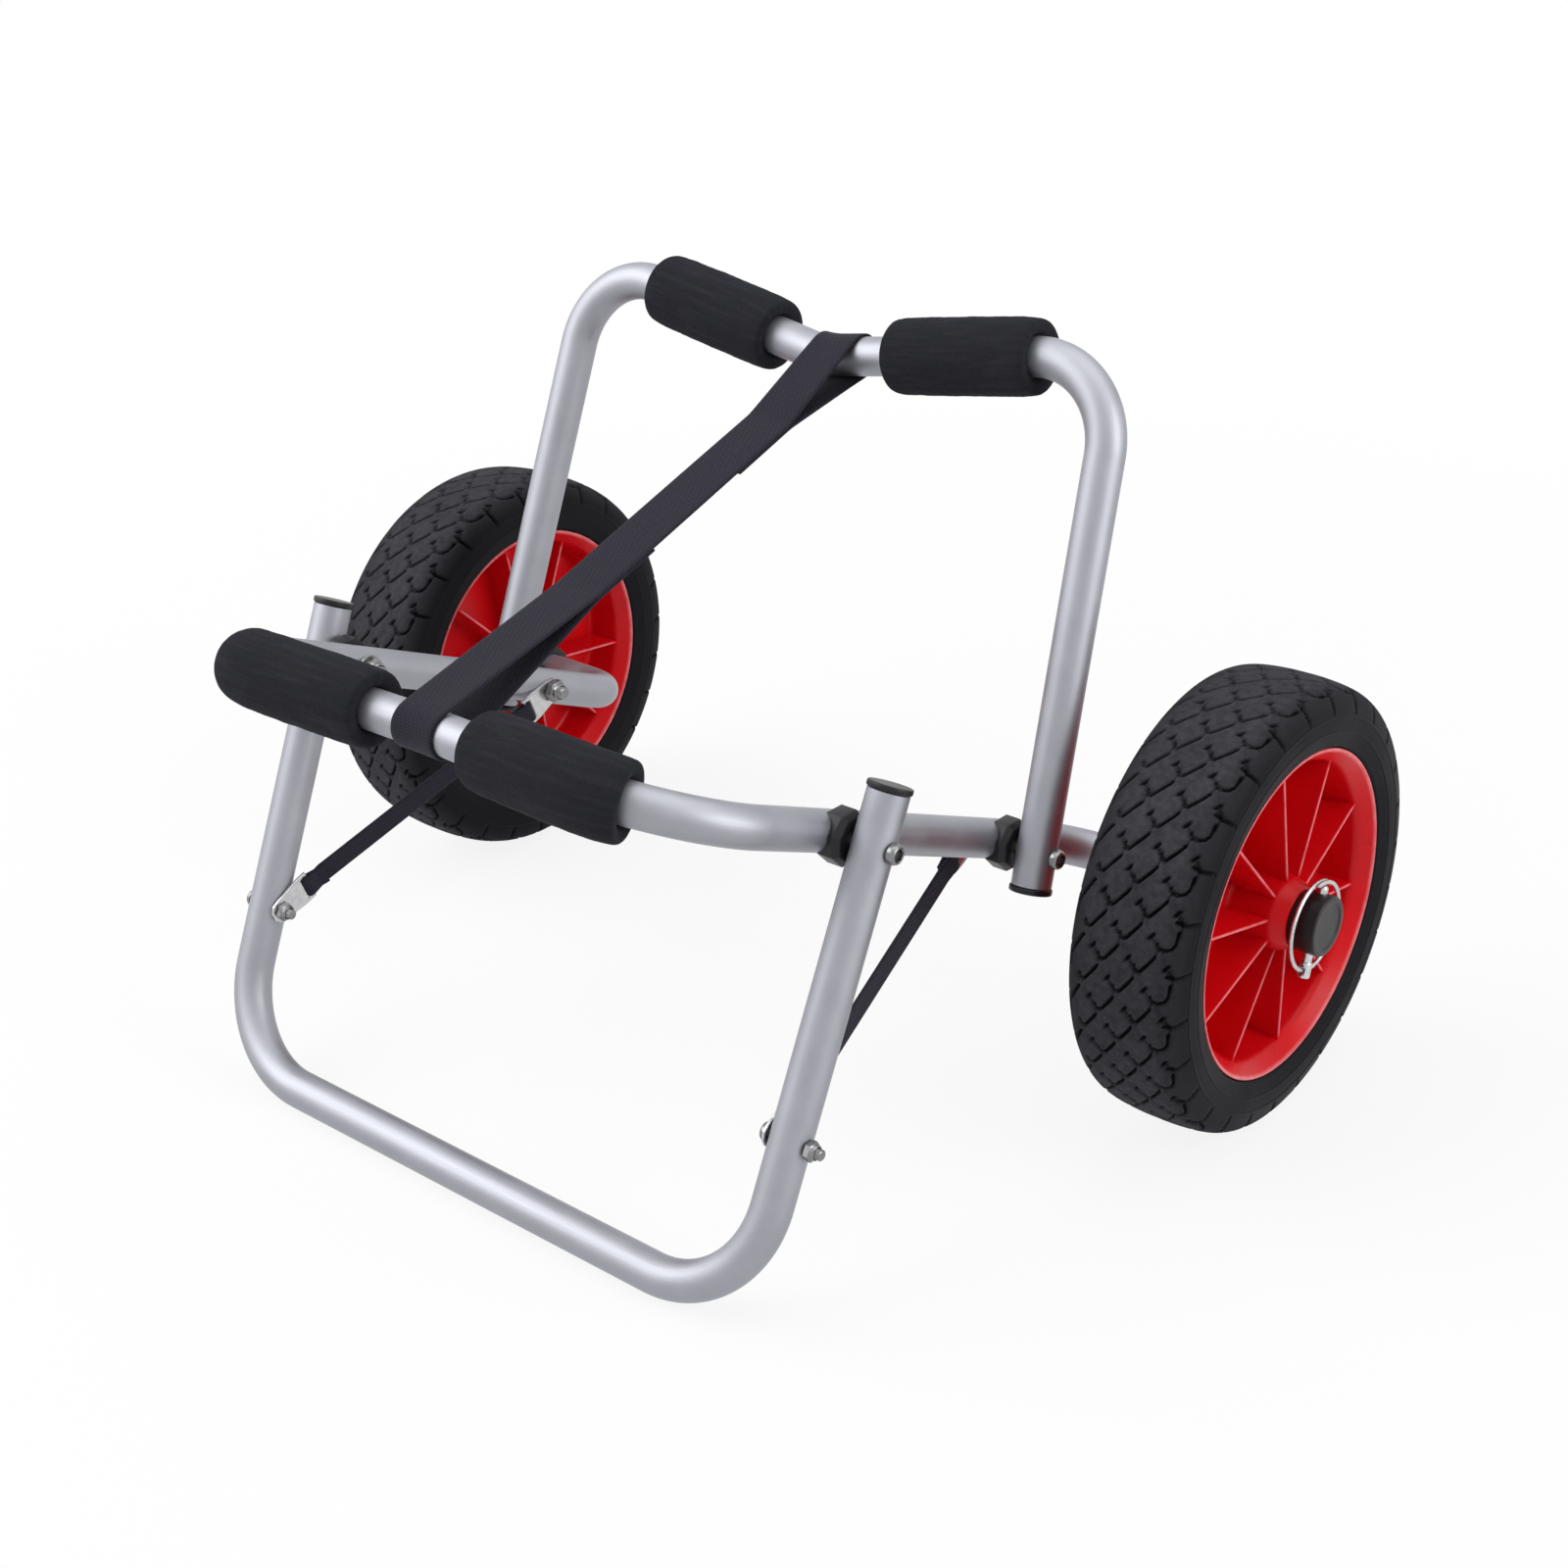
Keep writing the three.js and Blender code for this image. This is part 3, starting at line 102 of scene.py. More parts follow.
class CartTubes(bpy.types.PropertyGroup):
    """Sizes of the three bent tubes"""

    diameter: length("Tube diameter", 0.0225, "Outside diameter of every tube")
    wall: length("Tube wall", 0.002, "Thickness of the tube's wall")
    axle_end: length("Axle half length", 0.3422, "From the middle to the end of the axle")
    cradle_slope: angle("Cradle slope", 25.5, "How far the cradle's arms rise from level")
    cradle_arm: length("Cradle arm", 0.367, "From the axle to the corner of the front bar")
    cradle_half_width: length("Cradle half width", 0.178, "From the middle to an arm's centre line")
    cradle_dip: length("Cradle bar dip", 0.014, "How far the front bar's middle falls back")
    cradle_front_bend: length("Cradle front bend", 0.060, "Bend radius beside the front bar")
    cradle_rear_bend: length("Cradle rear bend", 0.038, "Bend radius between arm and axle")
    cradle_dip_bend: length("Cradle dip bend", 0.100, "Bend radius in the middle of the front bar")
    outer_half_width: length("Pivot half width", 0.207, "From the middle to an outer leg at its pivot")
    rear_pivot: length("Rear pivot", 0.0855, "From the axle to the rear pivot, along the arm")
    rear_lean: angle("Rear lean", 21.5, "How far the rear hoop leans back")
    rear_leg: length("Rear leg", 0.270, "From the pivot to the corner of the rear bar")
    rear_tail: length("Rear tail", 0.0185, "From the pivot to the leg's lower end")
    rear_corner: length("Rear corner half width", 0.192, "From the middle to the rear bar's corner")
    rear_dip: length("Rear bar dip", 0.0305, "How far the rear bar's middle drops")
    rear_bend: length("Rear bend", 0.048, "Bend radius at the rear bar's corners")
    rear_dip_bend: length("Rear dip bend", 0.060, "Bend radius in the middle of the rear bar")
    stand_pivot: length("Stand pivot", 0.244, "From the axle to the stand's pivot, along the arm")
    stand_lean: angle("Stand lean", 26.5, "How far the stand reaches forward")
    stand_top: length("Stand top", 0.029, "From the pivot to the leg's upper end")
    stand_corner: length("Stand corner half width", 0.2015, "From the middle to the foot bar's corner")
    stand_bend: length("Stand bend", 0.062, "Bend radius at the foot bar's corners")
    stand_strap_drop: length("Strap bolt drop", 0.155, "From the pivot down the leg to the strap bolt")
    metal: colour("Aluminium", (0.345, 0.35, 0.385), "Colour of the anodised tube")


class CartGrips(bpy.types.PropertyGroup):
    """Sizes of the foam sleeves"""

    diameter: length("Foam diameter", 0.0430, "Outside diameter of a sleeve")
    cradle_start: length("Front start", 0.0405, "From the front bar's middle to a sleeve")
    cradle_length: length("Front length", 0.0995, "Length of a front sleeve")
    cradle_shift: length("Front shift", 0.0035, "How far both front sleeves have slid to the right")
    rear_start: length("Rear start", 0.0438, "From the rear bar's middle to a sleeve")
    rear_length: length("Rear length", 0.0950, "Length of a rear sleeve")
    rear_shift: length("Rear shift", 0.006, "How far both rear sleeves have slid to the right")
    foam: colour("Foam", (0.021, 0.0215, 0.027), "Colour of the foam")


class CartStraps(bpy.types.PropertyGroup):
    """Sizes of the webbing"""

    hull_width: length("Hull strap width", 0.030, "Width of the long strap")
    thickness: length("Webbing thickness", 0.0018, "Thickness of all webbing")
    cradle_loop: length("Front loop", 0.118, "From the front bar to where its loop closes")
    rear_loop: length("Rear loop", 0.066, "From the rear bar to where its loop closes")
    drift: length("Rear loop drift", 0.010, "How far the rear loop has slid to the right")
    roll: angle("Hull strap roll", -3, "How far the long strap leans over halfway between its bars")
    hull_stitch: length("Hull strap seam", 0.045, "Length of the sewn overlap behind each loop")
    stand_width: length("Stand strap width", 0.0135, "Width of the narrow straps")
    stand_stitch: length("Stand strap seam", 0.010, "Length of the sewn overlap at each eye")
    webbing: colour("Webbing", (0.026, 0.025, 0.037), "Colour of the webbing")


class CartTyres(bpy.types.PropertyGroup):
    """Sizes of the tyres and their tread"""

    diameter: length("Wheel diameter", 0.260, "Outside diameter over the tread")
    offset: length("Wheel offset", 0.2915, "From the cart's middle to a wheel's middle")
    pitch_count: count("Tread repeats", 27, "Pattern repeats round the tyre")
    groove_depth: length("Groove depth", 0.0026, "Depth of the tread's grooves")
    groove_width: length("Groove width", 0.0018, "Width of the tread's grooves")
    rubber: colour("Rubber", (0.041, 0.041, 0.048), "Colour of the rubber")


class CartRims(bpy.types.PropertyGroup):
    """Sizes of the red rims"""

    diameter: length("Rim diameter", 0.190, "Outside diameter of the lips")
    width: length("Rim width", 0.066, "Width over the lips")
    barrel: length("Barrel diameter", 0.172, "Inside diameter of the barrel")
    hub: length("Hub diameter", 0.042, "Diameter of the hub where the ribs meet it")
    hub_length: length("Hub length", 0.074, "Length of the hub")
    rib_thickness: length("Rib thickness", 0.0024, "Thickness of a rib")
    rib_count: count("Ribs", 10, "Ribs on each face")
    rib_turn_right: angle("Right rib turn", 3.7, "How far the right rim's ribs stand round from upright")
    rib_turn_left: angle("Left rib turn", 7.9, "How far the left rim's ribs stand round from upright")
    plastic: colour("Red plastic", (0.66, 0.003, 0.008), "Colour of the rims")


class CartFittings(bpy.types.PropertyGroup):
    """Sizes of the axle fittings, and colours of the small parts"""

    cap_diameter: length("Axle cap diameter", 0.0345, "Outside diameter of a cup on the axle's end")
    collar_diameter: length("Collar diameter", 0.032, "Outside diameter of a ring inside a wheel")
    ring_diameter: length("Wire ring diameter", 0.0506, "Across a wire ring, between wire centres")
    wire_diameter: length("Wire diameter", 0.0026, "Thickness of the rings' wire")
    plastic: colour("Black plastic", (0.008, 0.008, 0.010), "Colour of cups, plugs and saddle blocks")
    steel: colour("Bright steel", (0.56, 0.56, 0.57), "Colour of plates, pins and wire rings")
    dull_steel: colour("Dull steel", (0.24, 0.24, 0.245), "Colour of bolts, nuts and washers")


class CartStage(bpy.types.PropertyGroup):
    """Camera, lamps and floor"""

    lens: FloatProperty(name="Lens", description="Focal length in millimetres", default=54.83)
    distance: length("Camera distance", 1.50224, "From the camera to the point it looks at")
    azimuth: angle("Camera azimuth", 40.9495, "How far the camera stands round to the right")
    elevation: angle("Camera elevation", 27.2528, "How far the camera looks down")
    roll: angle("Camera roll", -2.7601, "How far the camera is turned about its view")
    floor: colour("Floor", (0.90, 0.90, 0.90), "Colour of the floor")


# Meshes

WELD = 1e-6
SMOOTH_BELOW = 38
FULL_TURN = 2 * math.pi


class Shape:
    """Points, quads and map places gathered for one mesh"""

    def __init__(self):
        self.points, self.faces, self.places = [], [], []
        self.count = 0

    def grid(self, points, close_rows=False, close_columns=False, places=None):
        """Quads over rows and columns of points. places has one more row and column than points."""
        rows, columns = points.shape[:2]
        i, j = np.meshgrid(
            np.arange(rows if close_rows else rows - 1),
            np.arange(columns if close_columns else columns - 1),
            indexing="ij",
        )
        i, j = i.ravel(), j.ravel()
        corner_rows = np.stack([i, i + 1, i + 1, i], axis=1)
        corner_columns = np.stack([j, j, j + 1, j + 1], axis=1)
        faces = (corner_rows % rows) * columns + corner_columns % columns
        if places is None:
            places = np.zeros((rows + 1, columns + 1, 2))
        self.points.append(points.reshape(-1, 3))
        self.faces.append(faces + self.count)
        self.places.append(places[corner_rows, corner_columns].reshape(-1, 2))
        self.count += rows * columns
        return self

    def piece(self, name, finish, weld=True, crease=SMOOTH_BELOW):
        """The mesh as an object with smooth shading up to the crease angle"""
        mesh = bpy.data.meshes.new(name)
        points, faces = np.concatenate(self.points), np.concatenate(self.faces)
        mesh.from_pydata(points.tolist(), [], faces.tolist())
        layer = mesh.uv_layers.new(name="Surface")
        layer.data.foreach_set("uv", np.concatenate(self.places).astype(np.float32).ravel())
        if weld:
            work = bmesh.new()
            work.from_mesh(mesh)
            bmesh.ops.remove_doubles(work, verts=work.verts, dist=WELD)
            bmesh.ops.recalc_face_normals(work, faces=work.faces)
            work.to_mesh(mesh)
            work.free()
        return placed(name, mesh, finish, crease)


def placed(name, mesh, finish, crease):
    """The mesh as an object of the scene, smooth up to the crease angle or all over"""
    mesh.materials.clear()
    mesh.materials.append(finish)
    mesh.polygons.foreach_set("use_smooth", [True] * len(mesh.polygons))
    if crease is not None:
        mesh.set_sharp_from_angle(angle=math.radians(crease))
    piece = bpy.data.objects.new(name, mesh)
    bpy.context.scene.collection.objects.link(piece)
    return piece


def dress(piece, body, node):
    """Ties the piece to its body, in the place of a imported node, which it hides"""
    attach(piece, body)
    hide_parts(node)


def span(node):
    """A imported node's nearest and furthest reach to the side, from the cart's middle"""
    low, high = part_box(node)
    return min(abs(low.x), abs(high.x)), max(abs(low.x), abs(high.x))


def distances_along(points):
    """How far along the path each of its points lies"""
    gaps = np.linalg.norm(np.diff(points, axis=0), axis=1)
    return np.concatenate([[0], np.cumsum(gaps)])


def read_off(marks, distances, rows):
    """Each column of the rows at the marks, between the rows' own distances"""
    return np.stack([np.interp(marks, distances, column) for column in rows.T], axis=-1)


def rounded(outline, radius, steps=4):
    """The open outline with its corners rounded, as far as each corner's sides leave room"""
    most_of_side, least = 0.49, 1e-7
    corners = [np.array(p[:2], float) for p in outline]
    radii = [p[2] if len(p) > 2 else radius for p in outline]
    made = [corners[0]]
    for k in range(1, len(corners) - 1):
        before, corner, after = corners[k - 1], corners[k], corners[k + 1]
        back, on = before - corner, after - corner
        reach_back = min(radii[k], np.linalg.norm(back) * most_of_side)
        reach_on = min(radii[k], np.linalg.norm(on) * most_of_side)
        if min(reach_back, reach_on) < least:
            made.append(corner)
            continue
        start = corner + back / np.linalg.norm(back) * reach_back
        end = corner + on / np.linalg.norm(on) * reach_on
        for t in np.linspace(0, 1, steps + 1):
            made.append(start * (1 - t) ** 2 + corner * 2 * t * (1 - t) + end * t * t)
    made.append(corners[-1])
    return [tuple(p) for p in made]


def turned(rows, steps, place):
    """A grid of rows turned about X and moved to its place

    A row holds its place along X and its radius, or in a third number a hexagon's width across
    its flats.
    """
    turn = np.arange(steps) * FULL_TURN / steps
    to_corner = np.cos((turn % (math.pi / 3)) - math.pi / 6)
    points = np.zeros((len(rows), steps, 3))
    for i, row in enumerate(rows):
        radius = np.full(steps, row[1]) if len(row) < 3 else row[2] / 2 / to_corner
        points[i, :, 0] = row[0]
        points[i, :, 1] = radius * np.cos(turn)
        points[i, :, 2] = radius * np.sin(turn)
    return moved(points, place)


def turned_piece(name, rows, steps, place, finish, crease=SMOOTH_BELOW):
    """A round piece, closed where its first and last rows meet the middle line or each other"""
    shape = Shape().grid(turned(rows, steps, place), close_columns=True)
    return shape.piece(name, finish, crease=crease)


def moved(points, place):
    """The points turned and shifted by the place"""
    turn, shift = np.array(place.to_3x3()), np.array(place.translation)
    return points @ turn.T + shift


def facing(point, direction):
    """Turns +X to the direction and moves the middle to the point"""
    return Matrix.Translation(point) @ direction.to_track_quat("X", "Z").to_matrix().to_4x4()


def eased_copy(name, node, finish, width, slim=1.0):
    """A flat-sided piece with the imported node's own faces, slimmed, and its edges eased by the width"""
    flat, fold, smooth_below = math.radians(1), math.radians(30), 50
    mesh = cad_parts[node].data.copy()
    mesh.name = name
    work = bmesh.new()
    work.from_mesh(mesh)
    middle = (Vector(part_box(node)[0]) + Vector(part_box(node)[1])) / 2
    for vert in work.verts:
        vert.co.y, vert.co.z = (middle[k] + (vert.co[k] - middle[k]) * slim for k in (1, 2))
    bmesh.ops.remove_doubles(work, verts=work.verts, dist=WELD)
    bmesh.ops.dissolve_limit(work, angle_limit=flat, verts=work.verts, edges=work.edges)
    sharp = [e for e in work.edges if len(e.link_faces) == 2 and e.calc_face_angle(0) > fold]
    bmesh.ops.bevel(
        work, geom=sharp, offset=width, offset_type="OFFSET", segments=3, profile=0.5,
        affect="EDGES", clamp_overlap=True,
    )
    work.to_mesh(mesh)
    work.free()
    return placed(name, mesh, finish, smooth_below)


class Run:
    """Centre line of a bent tube in one plane: straight runs joined by round bends"""

    def __init__(self, corners, bends, normal):
        finest_turn, fewest_steps = math.radians(2), 4
        points, directions = [corners[0]], [(corners[1] - corners[0]).normalized()]
        for before, corner, after, radius in zip(corners, corners[1:], corners[2:], bends):
            inward, outward = (corner - before).normalized(), (after - corner).normalized()
            turn = inward.angle(outward)
            axis = inward.cross(outward).normalized()
            start = corner - inward * radius * math.tan(turn / 2)
            centre = start + axis.cross(inward) * radius
            steps = max(fewest_steps, math.ceil(turn / finest_turn))
            for k in range(steps + 1):
                by = Matrix.Rotation(turn * k / steps, 3, axis)
                points.append(centre + by @ (start - centre))
                directions.append(by @ inward)
        points.append(corners[-1])
        directions.append(directions[-1])
        self.points = np.array([tuple(p) for p in points])
        self.directions = np.array([tuple(d) for d in directions])
        self.distances = distances_along(self.points)
        self.length = float(self.distances[-1])
        self.normal = np.array(normal.normalized())

    def at(self, marks):
        """Points at the marks along the centre line, and its directions there"""
        points = read_off(marks, self.distances, self.points)
        ways = read_off(marks, self.distances, self.directions)
        return points, ways / np.linalg.norm(ways, axis=-1, keepdims=True)

    def stations(self, start, end, step):
        """Distances from start to end: each bend's own places, and straight runs cut into steps"""
        inside = self.distances[(self.distances > start) & (self.distances < end)]
        marks = np.concatenate([[start], inside, [end]])
        filled = [marks[0]]
        for a, b in zip(marks, marks[1:]):
            if b - a > WELD:
                filled.extend(np.linspace(a, b, max(1, math.ceil((b - a) / step)) + 1)[1:])
        return np.array(filled)

    def sleeve(self, rows, steps, close_rows=False):
        """A grid round the centre line through rows of distance and radius, with its map places"""
        rows = np.array(rows, float)
        points, ways = self.at(rows[:, 0])
        across = np.cross(ways, self.normal)
        turn = np.arange(steps)[None, :, None] * FULL_TURN / steps
        ring = self.normal * np.cos(turn) + across[:, None, :] * np.sin(turn)
        grid = points[:, None, :] + ring * rows[:, 1][:, None, None]
        along = np.append(rows[:, 0], rows[0, 0] if close_rows else rows[-1, 0])
        around = np.arange(steps + 1) / steps * FULL_TURN * rows[:, 1].max()
        places = np.stack(np.meshgrid(around, along), axis=-1)
        return grid, places


class Layout:
    """Centre lines and pivots that follow from the settings"""

    def __init__(self, scene):
        t = scene.cart_tubes
        self.radius = t.diameter / 2
        self.arm = Vector((0, -math.cos(t.cradle_slope), math.sin(t.cradle_slope)))
        self.rear_up = Vector((0, math.sin(t.rear_lean), math.cos(t.rear_lean)))
        self.stand_up = Vector((0, math.sin(t.stand_lean), math.cos(t.stand_lean)))
        self.rear_pivot = AXLE + self.arm * t.rear_pivot
        self.stand_pivot = AXLE + self.arm * t.stand_pivot
        self.stand_leg = (self.stand_pivot.z - self.radius) / math.cos(t.stand_lean)
        self.t = t

    def leg_half_width(self, corner, leg, distance):
        """How far from the middle a splayed leg is, at this distance from its pivot"""
        return self.t.outer_half_width + (corner - self.t.outer_half_width) * distance / leg

    def hoop(self, origin, way, half, middle, bends):
        """Corners given as half width and distance along the way, on the right and then mirrored"""
        right = [origin + X_AXIS * x + way * d for x, d in half]
        left = [origin - X_AXIS * x + way * d for x, d in reversed(half)]
        return Run(right + middle + left, bends, X_AXIS.cross(way))

    def cradle(self):
        t = self.t
        half = [(t.axle_end, 0), (t.cradle_half_width, 0), (t.cradle_half_width, t.cradle_arm)]
        middle = [AXLE + self.arm * (t.cradle_arm - t.cradle_dip)]
        side = [t.cradle_rear_bend, t.cradle_front_bend]
        return self.hoop(AXLE, self.arm, half, middle, [*side, t.cradle_dip_bend, *reversed(side)])

    def rear(self):
        t = self.t
        foot = self.leg_half_width(t.rear_corner, t.rear_leg, -t.rear_tail)
        half = [(foot, -t.rear_tail), (t.rear_corner, t.rear_leg)]
        middle = [self.rear_pivot + self.rear_up * (t.rear_leg - t.rear_dip)]
        bends = [t.rear_bend, t.rear_dip_bend, t.rear_bend]
        return self.hoop(self.rear_pivot, self.rear_up, half, middle, bends)

    def stand(self):
        t = self.t
        top = self.leg_half_width(t.stand_corner, self.stand_leg, -t.stand_top)
        half = [(top, t.stand_top), (t.stand_corner, -self.stand_leg)]
        return self.hoop(self.stand_pivot, self.stand_up, half, [], [t.stand_bend, t.stand_bend])

    def strap_bolt(self):
        return self.stand_pivot - self.stand_up * self.t.stand_strap_drop


# Finishes

class Finish:
    """A material with its shader and a short way to add and join nodes"""

    def __init__(self, name, base, roughness, metallic=0.0, specular=0.5):
        self.material = bpy.data.materials.new(name)
        self.material.use_nodes = True
        self.tree = self.material.node_tree
        self.shader = self.tree.nodes["Principled BSDF"]
        self.set(self.shader, "Base Color", (*base, 1.0))
        self.set(self.shader, "Roughness", roughness)
        self.set(self.shader, "Metallic", metallic)
        self.set(self.shader, "Specular IOR Level", specular)

    def set(self, node, socket, value):
        node.inputs[socket].default_value = value

    def add(self, kind, **values):
        node = self.tree.nodes.new(kind)
        for key, value in values.items():
            if hasattr(node, key):
                setattr(node, key, value)
            else:
                node.inputs[key.replace("_", " ").title()].default_value = value
        return node

    def join(self, source, target):
        self.tree.links.new(source, target)

    def surface_map(self, scale):
        """Map places in metres, stretched by the scale"""
        source = self.add("ShaderNodeUVMap", uv_map="Surface")
        mapping = self.add("ShaderNodeMapping")
        self.set(mapping, "Scale", scale)
        self.join(source.outputs["UV"], mapping.inputs["Vector"])
        return mapping.outputs["Vector"]

    def body_map(self):
        """Places in metres that stay with the piece as it moves"""
        return self.add("ShaderNodeTexCoord").outputs["Object"]

    def noise(self, vector, scale, detail=3.0):
        node = self.add("ShaderNodeTexNoise", scale=scale, detail=detail, roughness=0.55)
        self.join(vector, node.inputs["Vector"])
        return node.outputs["Fac"]

    def bands(self, vector, direction, distortion):
        node = self.add("ShaderNodeTexWave", wave_type="BANDS", bands_direction=direction)
        self.set(node, "Scale", 1.0)
        self.set(node, "Distortion", distortion)
        self.join(vector, node.inputs["Vector"])
        return node.outputs["Fac"]

    def remap(self, value, low, high, to_low, to_high):
        node = self.add(
            "ShaderNodeMapRange", from_min=low, from_max=high, to_min=to_low, to_max=to_high
        )
        self.join(value, node.inputs["Value"])
        return node.outputs["Result"]

    def spread(self, grain, low, high):
        """A noise texture's usual values, stretched from the low to the high number"""
        return self.remap(grain, 0.3, 0.7, low, high)

    def math(self, kind, first, second=0.0):
        node = self.add("ShaderNodeMath", operation=kind)
        for socket, value in zip(node.inputs, (first, second)):
            if isinstance(value, (int, float)):
                socket.default_value = value
            else:
                self.join(value, socket)
        return node.outputs["Value"]

    def axes(self, vector):
        node = self.add("ShaderNodeSeparateXYZ")
        self.join(vector, node.inputs["Vector"])
        return node.outputs

    def reach(self, vector):
        node = self.add("ShaderNodeVectorMath", operation="LENGTH")
        self.join(vector, node.inputs[0])
        return node.outputs["Value"]

    def tint(self, factor, first, second):
        """Colours the surface between two colours, or from what colours it already to the second"""
        node = self.add("ShaderNodeMix", data_type="RGBA")
        self.join(factor, node.inputs["Factor"])
        colours = [socket for socket in node.inputs if socket.type == "RGBA"]
        if first is None:
            self.join(self.shader.inputs["Base Color"].links[0].from_socket, colours[0])
        else:
            colours[0].default_value = (*first, 1.0)
        colours[1].default_value = (*second, 1.0)
        result = [o for o in node.outputs if o.type == "RGBA"][0]
        self.join(result, self.shader.inputs["Base Color"])

    def rough(self, value):
        self.join(value, self.shader.inputs["Roughness"])

    def bump(self, height, distance):
        node = self.add("ShaderNodeBump", strength=1.0, distance=distance)
        self.join(height, node.inputs["Height"])
        self.join(node.outputs["Normal"], self.shader.inputs["Normal"])


def scaled(base, factor):
    return tuple(min(1.0, c * factor) for c in base)


def anodised_aluminium(base):
    """Satin tube, faintly cloudy and with fine streaks along it"""
    f = Finish("anodised_aluminium", base, 0.52, metallic=1.0)
    streaks = f.noise(f.surface_map((1500.0, 14.0, 1.0)), 1.0, 4.0)
    cloud = f.noise(f.body_map(), 38.0)
    f.tint(f.spread(cloud, 0.0, 1.0), scaled(base, 0.95), scaled(base, 1.06))
    f.rough(f.math("ADD", f.spread(streaks, 0.48, 0.56), f.spread(cloud, -0.03, 0.03)))
    f.bump(streaks, 0.000012)
    return f.material


def grip_foam(base):
    """Matt closed-cell foam with fine pores, rubbed paler in places"""
    f = Finish("grip_foam", base, 0.95, specular=0.08)
    pores = f.add("ShaderNodeTexVoronoi", scale=1900.0)
    f.join(f.body_map(), pores.inputs["Vector"])
    grain = f.noise(f.body_map(), 1100.0)
    rubbed = f.noise(f.surface_map((260.0, 26.0, 1.0)), 1.0)
    f.tint(f.spread(grain, 0.0, 1.0), scaled(base, 0.82), scaled(base, 1.12))
    f.tint(f.remap(rubbed, 0.48, 0.75, 0.0, 0.55), None, scaled(base, 1.6))
    f.rough(f.spread(rubbed, 0.97, 0.88))
    f.bump(f.math("ADD", pores.outputs["Distance"], f.math("ADD", grain, rubbed)), 0.00014)
    return f.material


def moulded_black(base):
    """Hard black plastic with a fine moulded grain"""
    f = Finish("moulded_black", base, 0.38, specular=0.3)
    grain = f.noise(f.body_map(), 1400.0, 2.0)
    wear = f.noise(f.body_map(), 90.0)
    f.tint(f.remap(wear, 0.35, 0.7, 0.0, 1.0), base, scaled(base, 1.5))
    f.rough(f.spread(wear, 0.33, 0.45))
    f.bump(grain, 0.00004)
    return f.material


def tyre_rubber(base):
    """Dusty matt tread, a darker, smoother side wall, and painted shade: darker shoulders, and grooves
    darkened by their depth
    """
    shoulder, wall, lower_wall = 0.0200, 0.0330, 0.0400
    f = Finish("tyre_rubber", base, 0.6, specular=0.03)
    across = f.axes(f.surface_map((1.0, 1.0, 1.0)))
    aside = f.math("ABSOLUTE", across["X"])
    # Painted shade: the shoulders are darkened towards the side walls, as if the lamps reached them less
    shoulder_painted_shade = f.remap(aside, shoulder, wall, 0.0, 0.75)
    on_wall = f.remap(aside, wall, lower_wall, 0.0, 1.0)
    # Painted shade: each groove is darkened by its share of depth
    groove_painted_shade = f.remap(across["Y"], 0.15, 0.75, 0.0, 0.85)
    grain = f.noise(f.body_map(), 900.0)
    dust = f.noise(f.body_map(), 260.0, 4.0)
    bloom = f.noise(f.body_map(), 36.0)
    mottle = f.math("ADD", f.spread(dust, 0.0, 0.65), f.spread(bloom, 0.0, 0.35))
    f.tint(mottle, scaled(base, 0.72), scaled(base, 1.50))
    f.tint(shoulder_painted_shade, None, scaled(base, 0.45))
    f.tint(on_wall, None, scaled(base, 0.30))
    f.tint(groove_painted_shade, None, scaled(base, 0.06))
    smoother = f.math("MULTIPLY", on_wall, 0.28)
    f.rough(f.math("SUBTRACT", f.spread(bloom, 0.66, 0.78), smoother))
    f.bump(grain, 0.00008)
    return f.material


def red_plastic(base, rim, offset):
    """Glossy red, with a painted highlight: pale pink bands along the lips and the ribs' top edges, in
    patches
    """
    hub, barrel, lip = rim.hub / 2, rim.barrel / 2, rim.diameter / 2
    f = Finish("red_plastic", base, 0.3, specular=0.2)
    flow = f.noise(f.body_map(), 30.0)
    skin = f.noise(f.body_map(), 350.0, 2.0)
    f.tint(f.spread(flow, 0.0, 1.0), scaled(base, 0.92), scaled(base, 1.06))
    place = f.axes(f.body_map())
    high = f.math("ABSOLUTE", f.math("SUBTRACT", f.math("ABSOLUTE", place["X"]), offset))
    away = f.add("ShaderNodeCombineXYZ")
    f.join(f.math("SUBTRACT", place["Y"], AXLE.y), away.inputs["Y"])
    f.join(f.math("SUBTRACT", place["Z"], AXLE.z), away.inputs["Z"])
    reach = f.reach(away.outputs["Vector"])
    crest = f.remap(reach, hub - RIB_SUNK, barrel + RIB_PAST, RIB_HIGH, RIB_HIGH - RIB_FALL)
    on_crest = f.remap(f.math("SUBTRACT", crest, high), 0.0002, 0.0009, 1.0, 0.0)
    past_hub = f.remap(reach, hub + 0.001, hub + 0.004, 0.0, 1.0)
    before_barrel = f.remap(reach, barrel - 0.004, barrel - 0.001, 1.0, 0.0)
    rib_painted_highlight = f.math("MULTIPLY", f.math("MULTIPLY", on_crest, past_hub), before_barrel)
    lip_painted_highlight = f.remap(reach, lip - 0.0028, lip - 0.0016, 0.0, 1.0)
    highlight_patches = f.remap(f.noise(f.body_map(), 140.0), 0.3, 0.6, 0.45, 0.9)
    # Painted highlight: the lips and the ribs' crests are tinted pale pink, broken into patches by noise
    f.tint(f.math("MULTIPLY", f.math("MAXIMUM", rib_painted_highlight, lip_painted_highlight), highlight_patches), None, (0.78, 0.20, 0.22))
    f.rough(f.spread(flow, 0.25, 0.34))
    f.bump(skin, 0.00003)
    return f.material


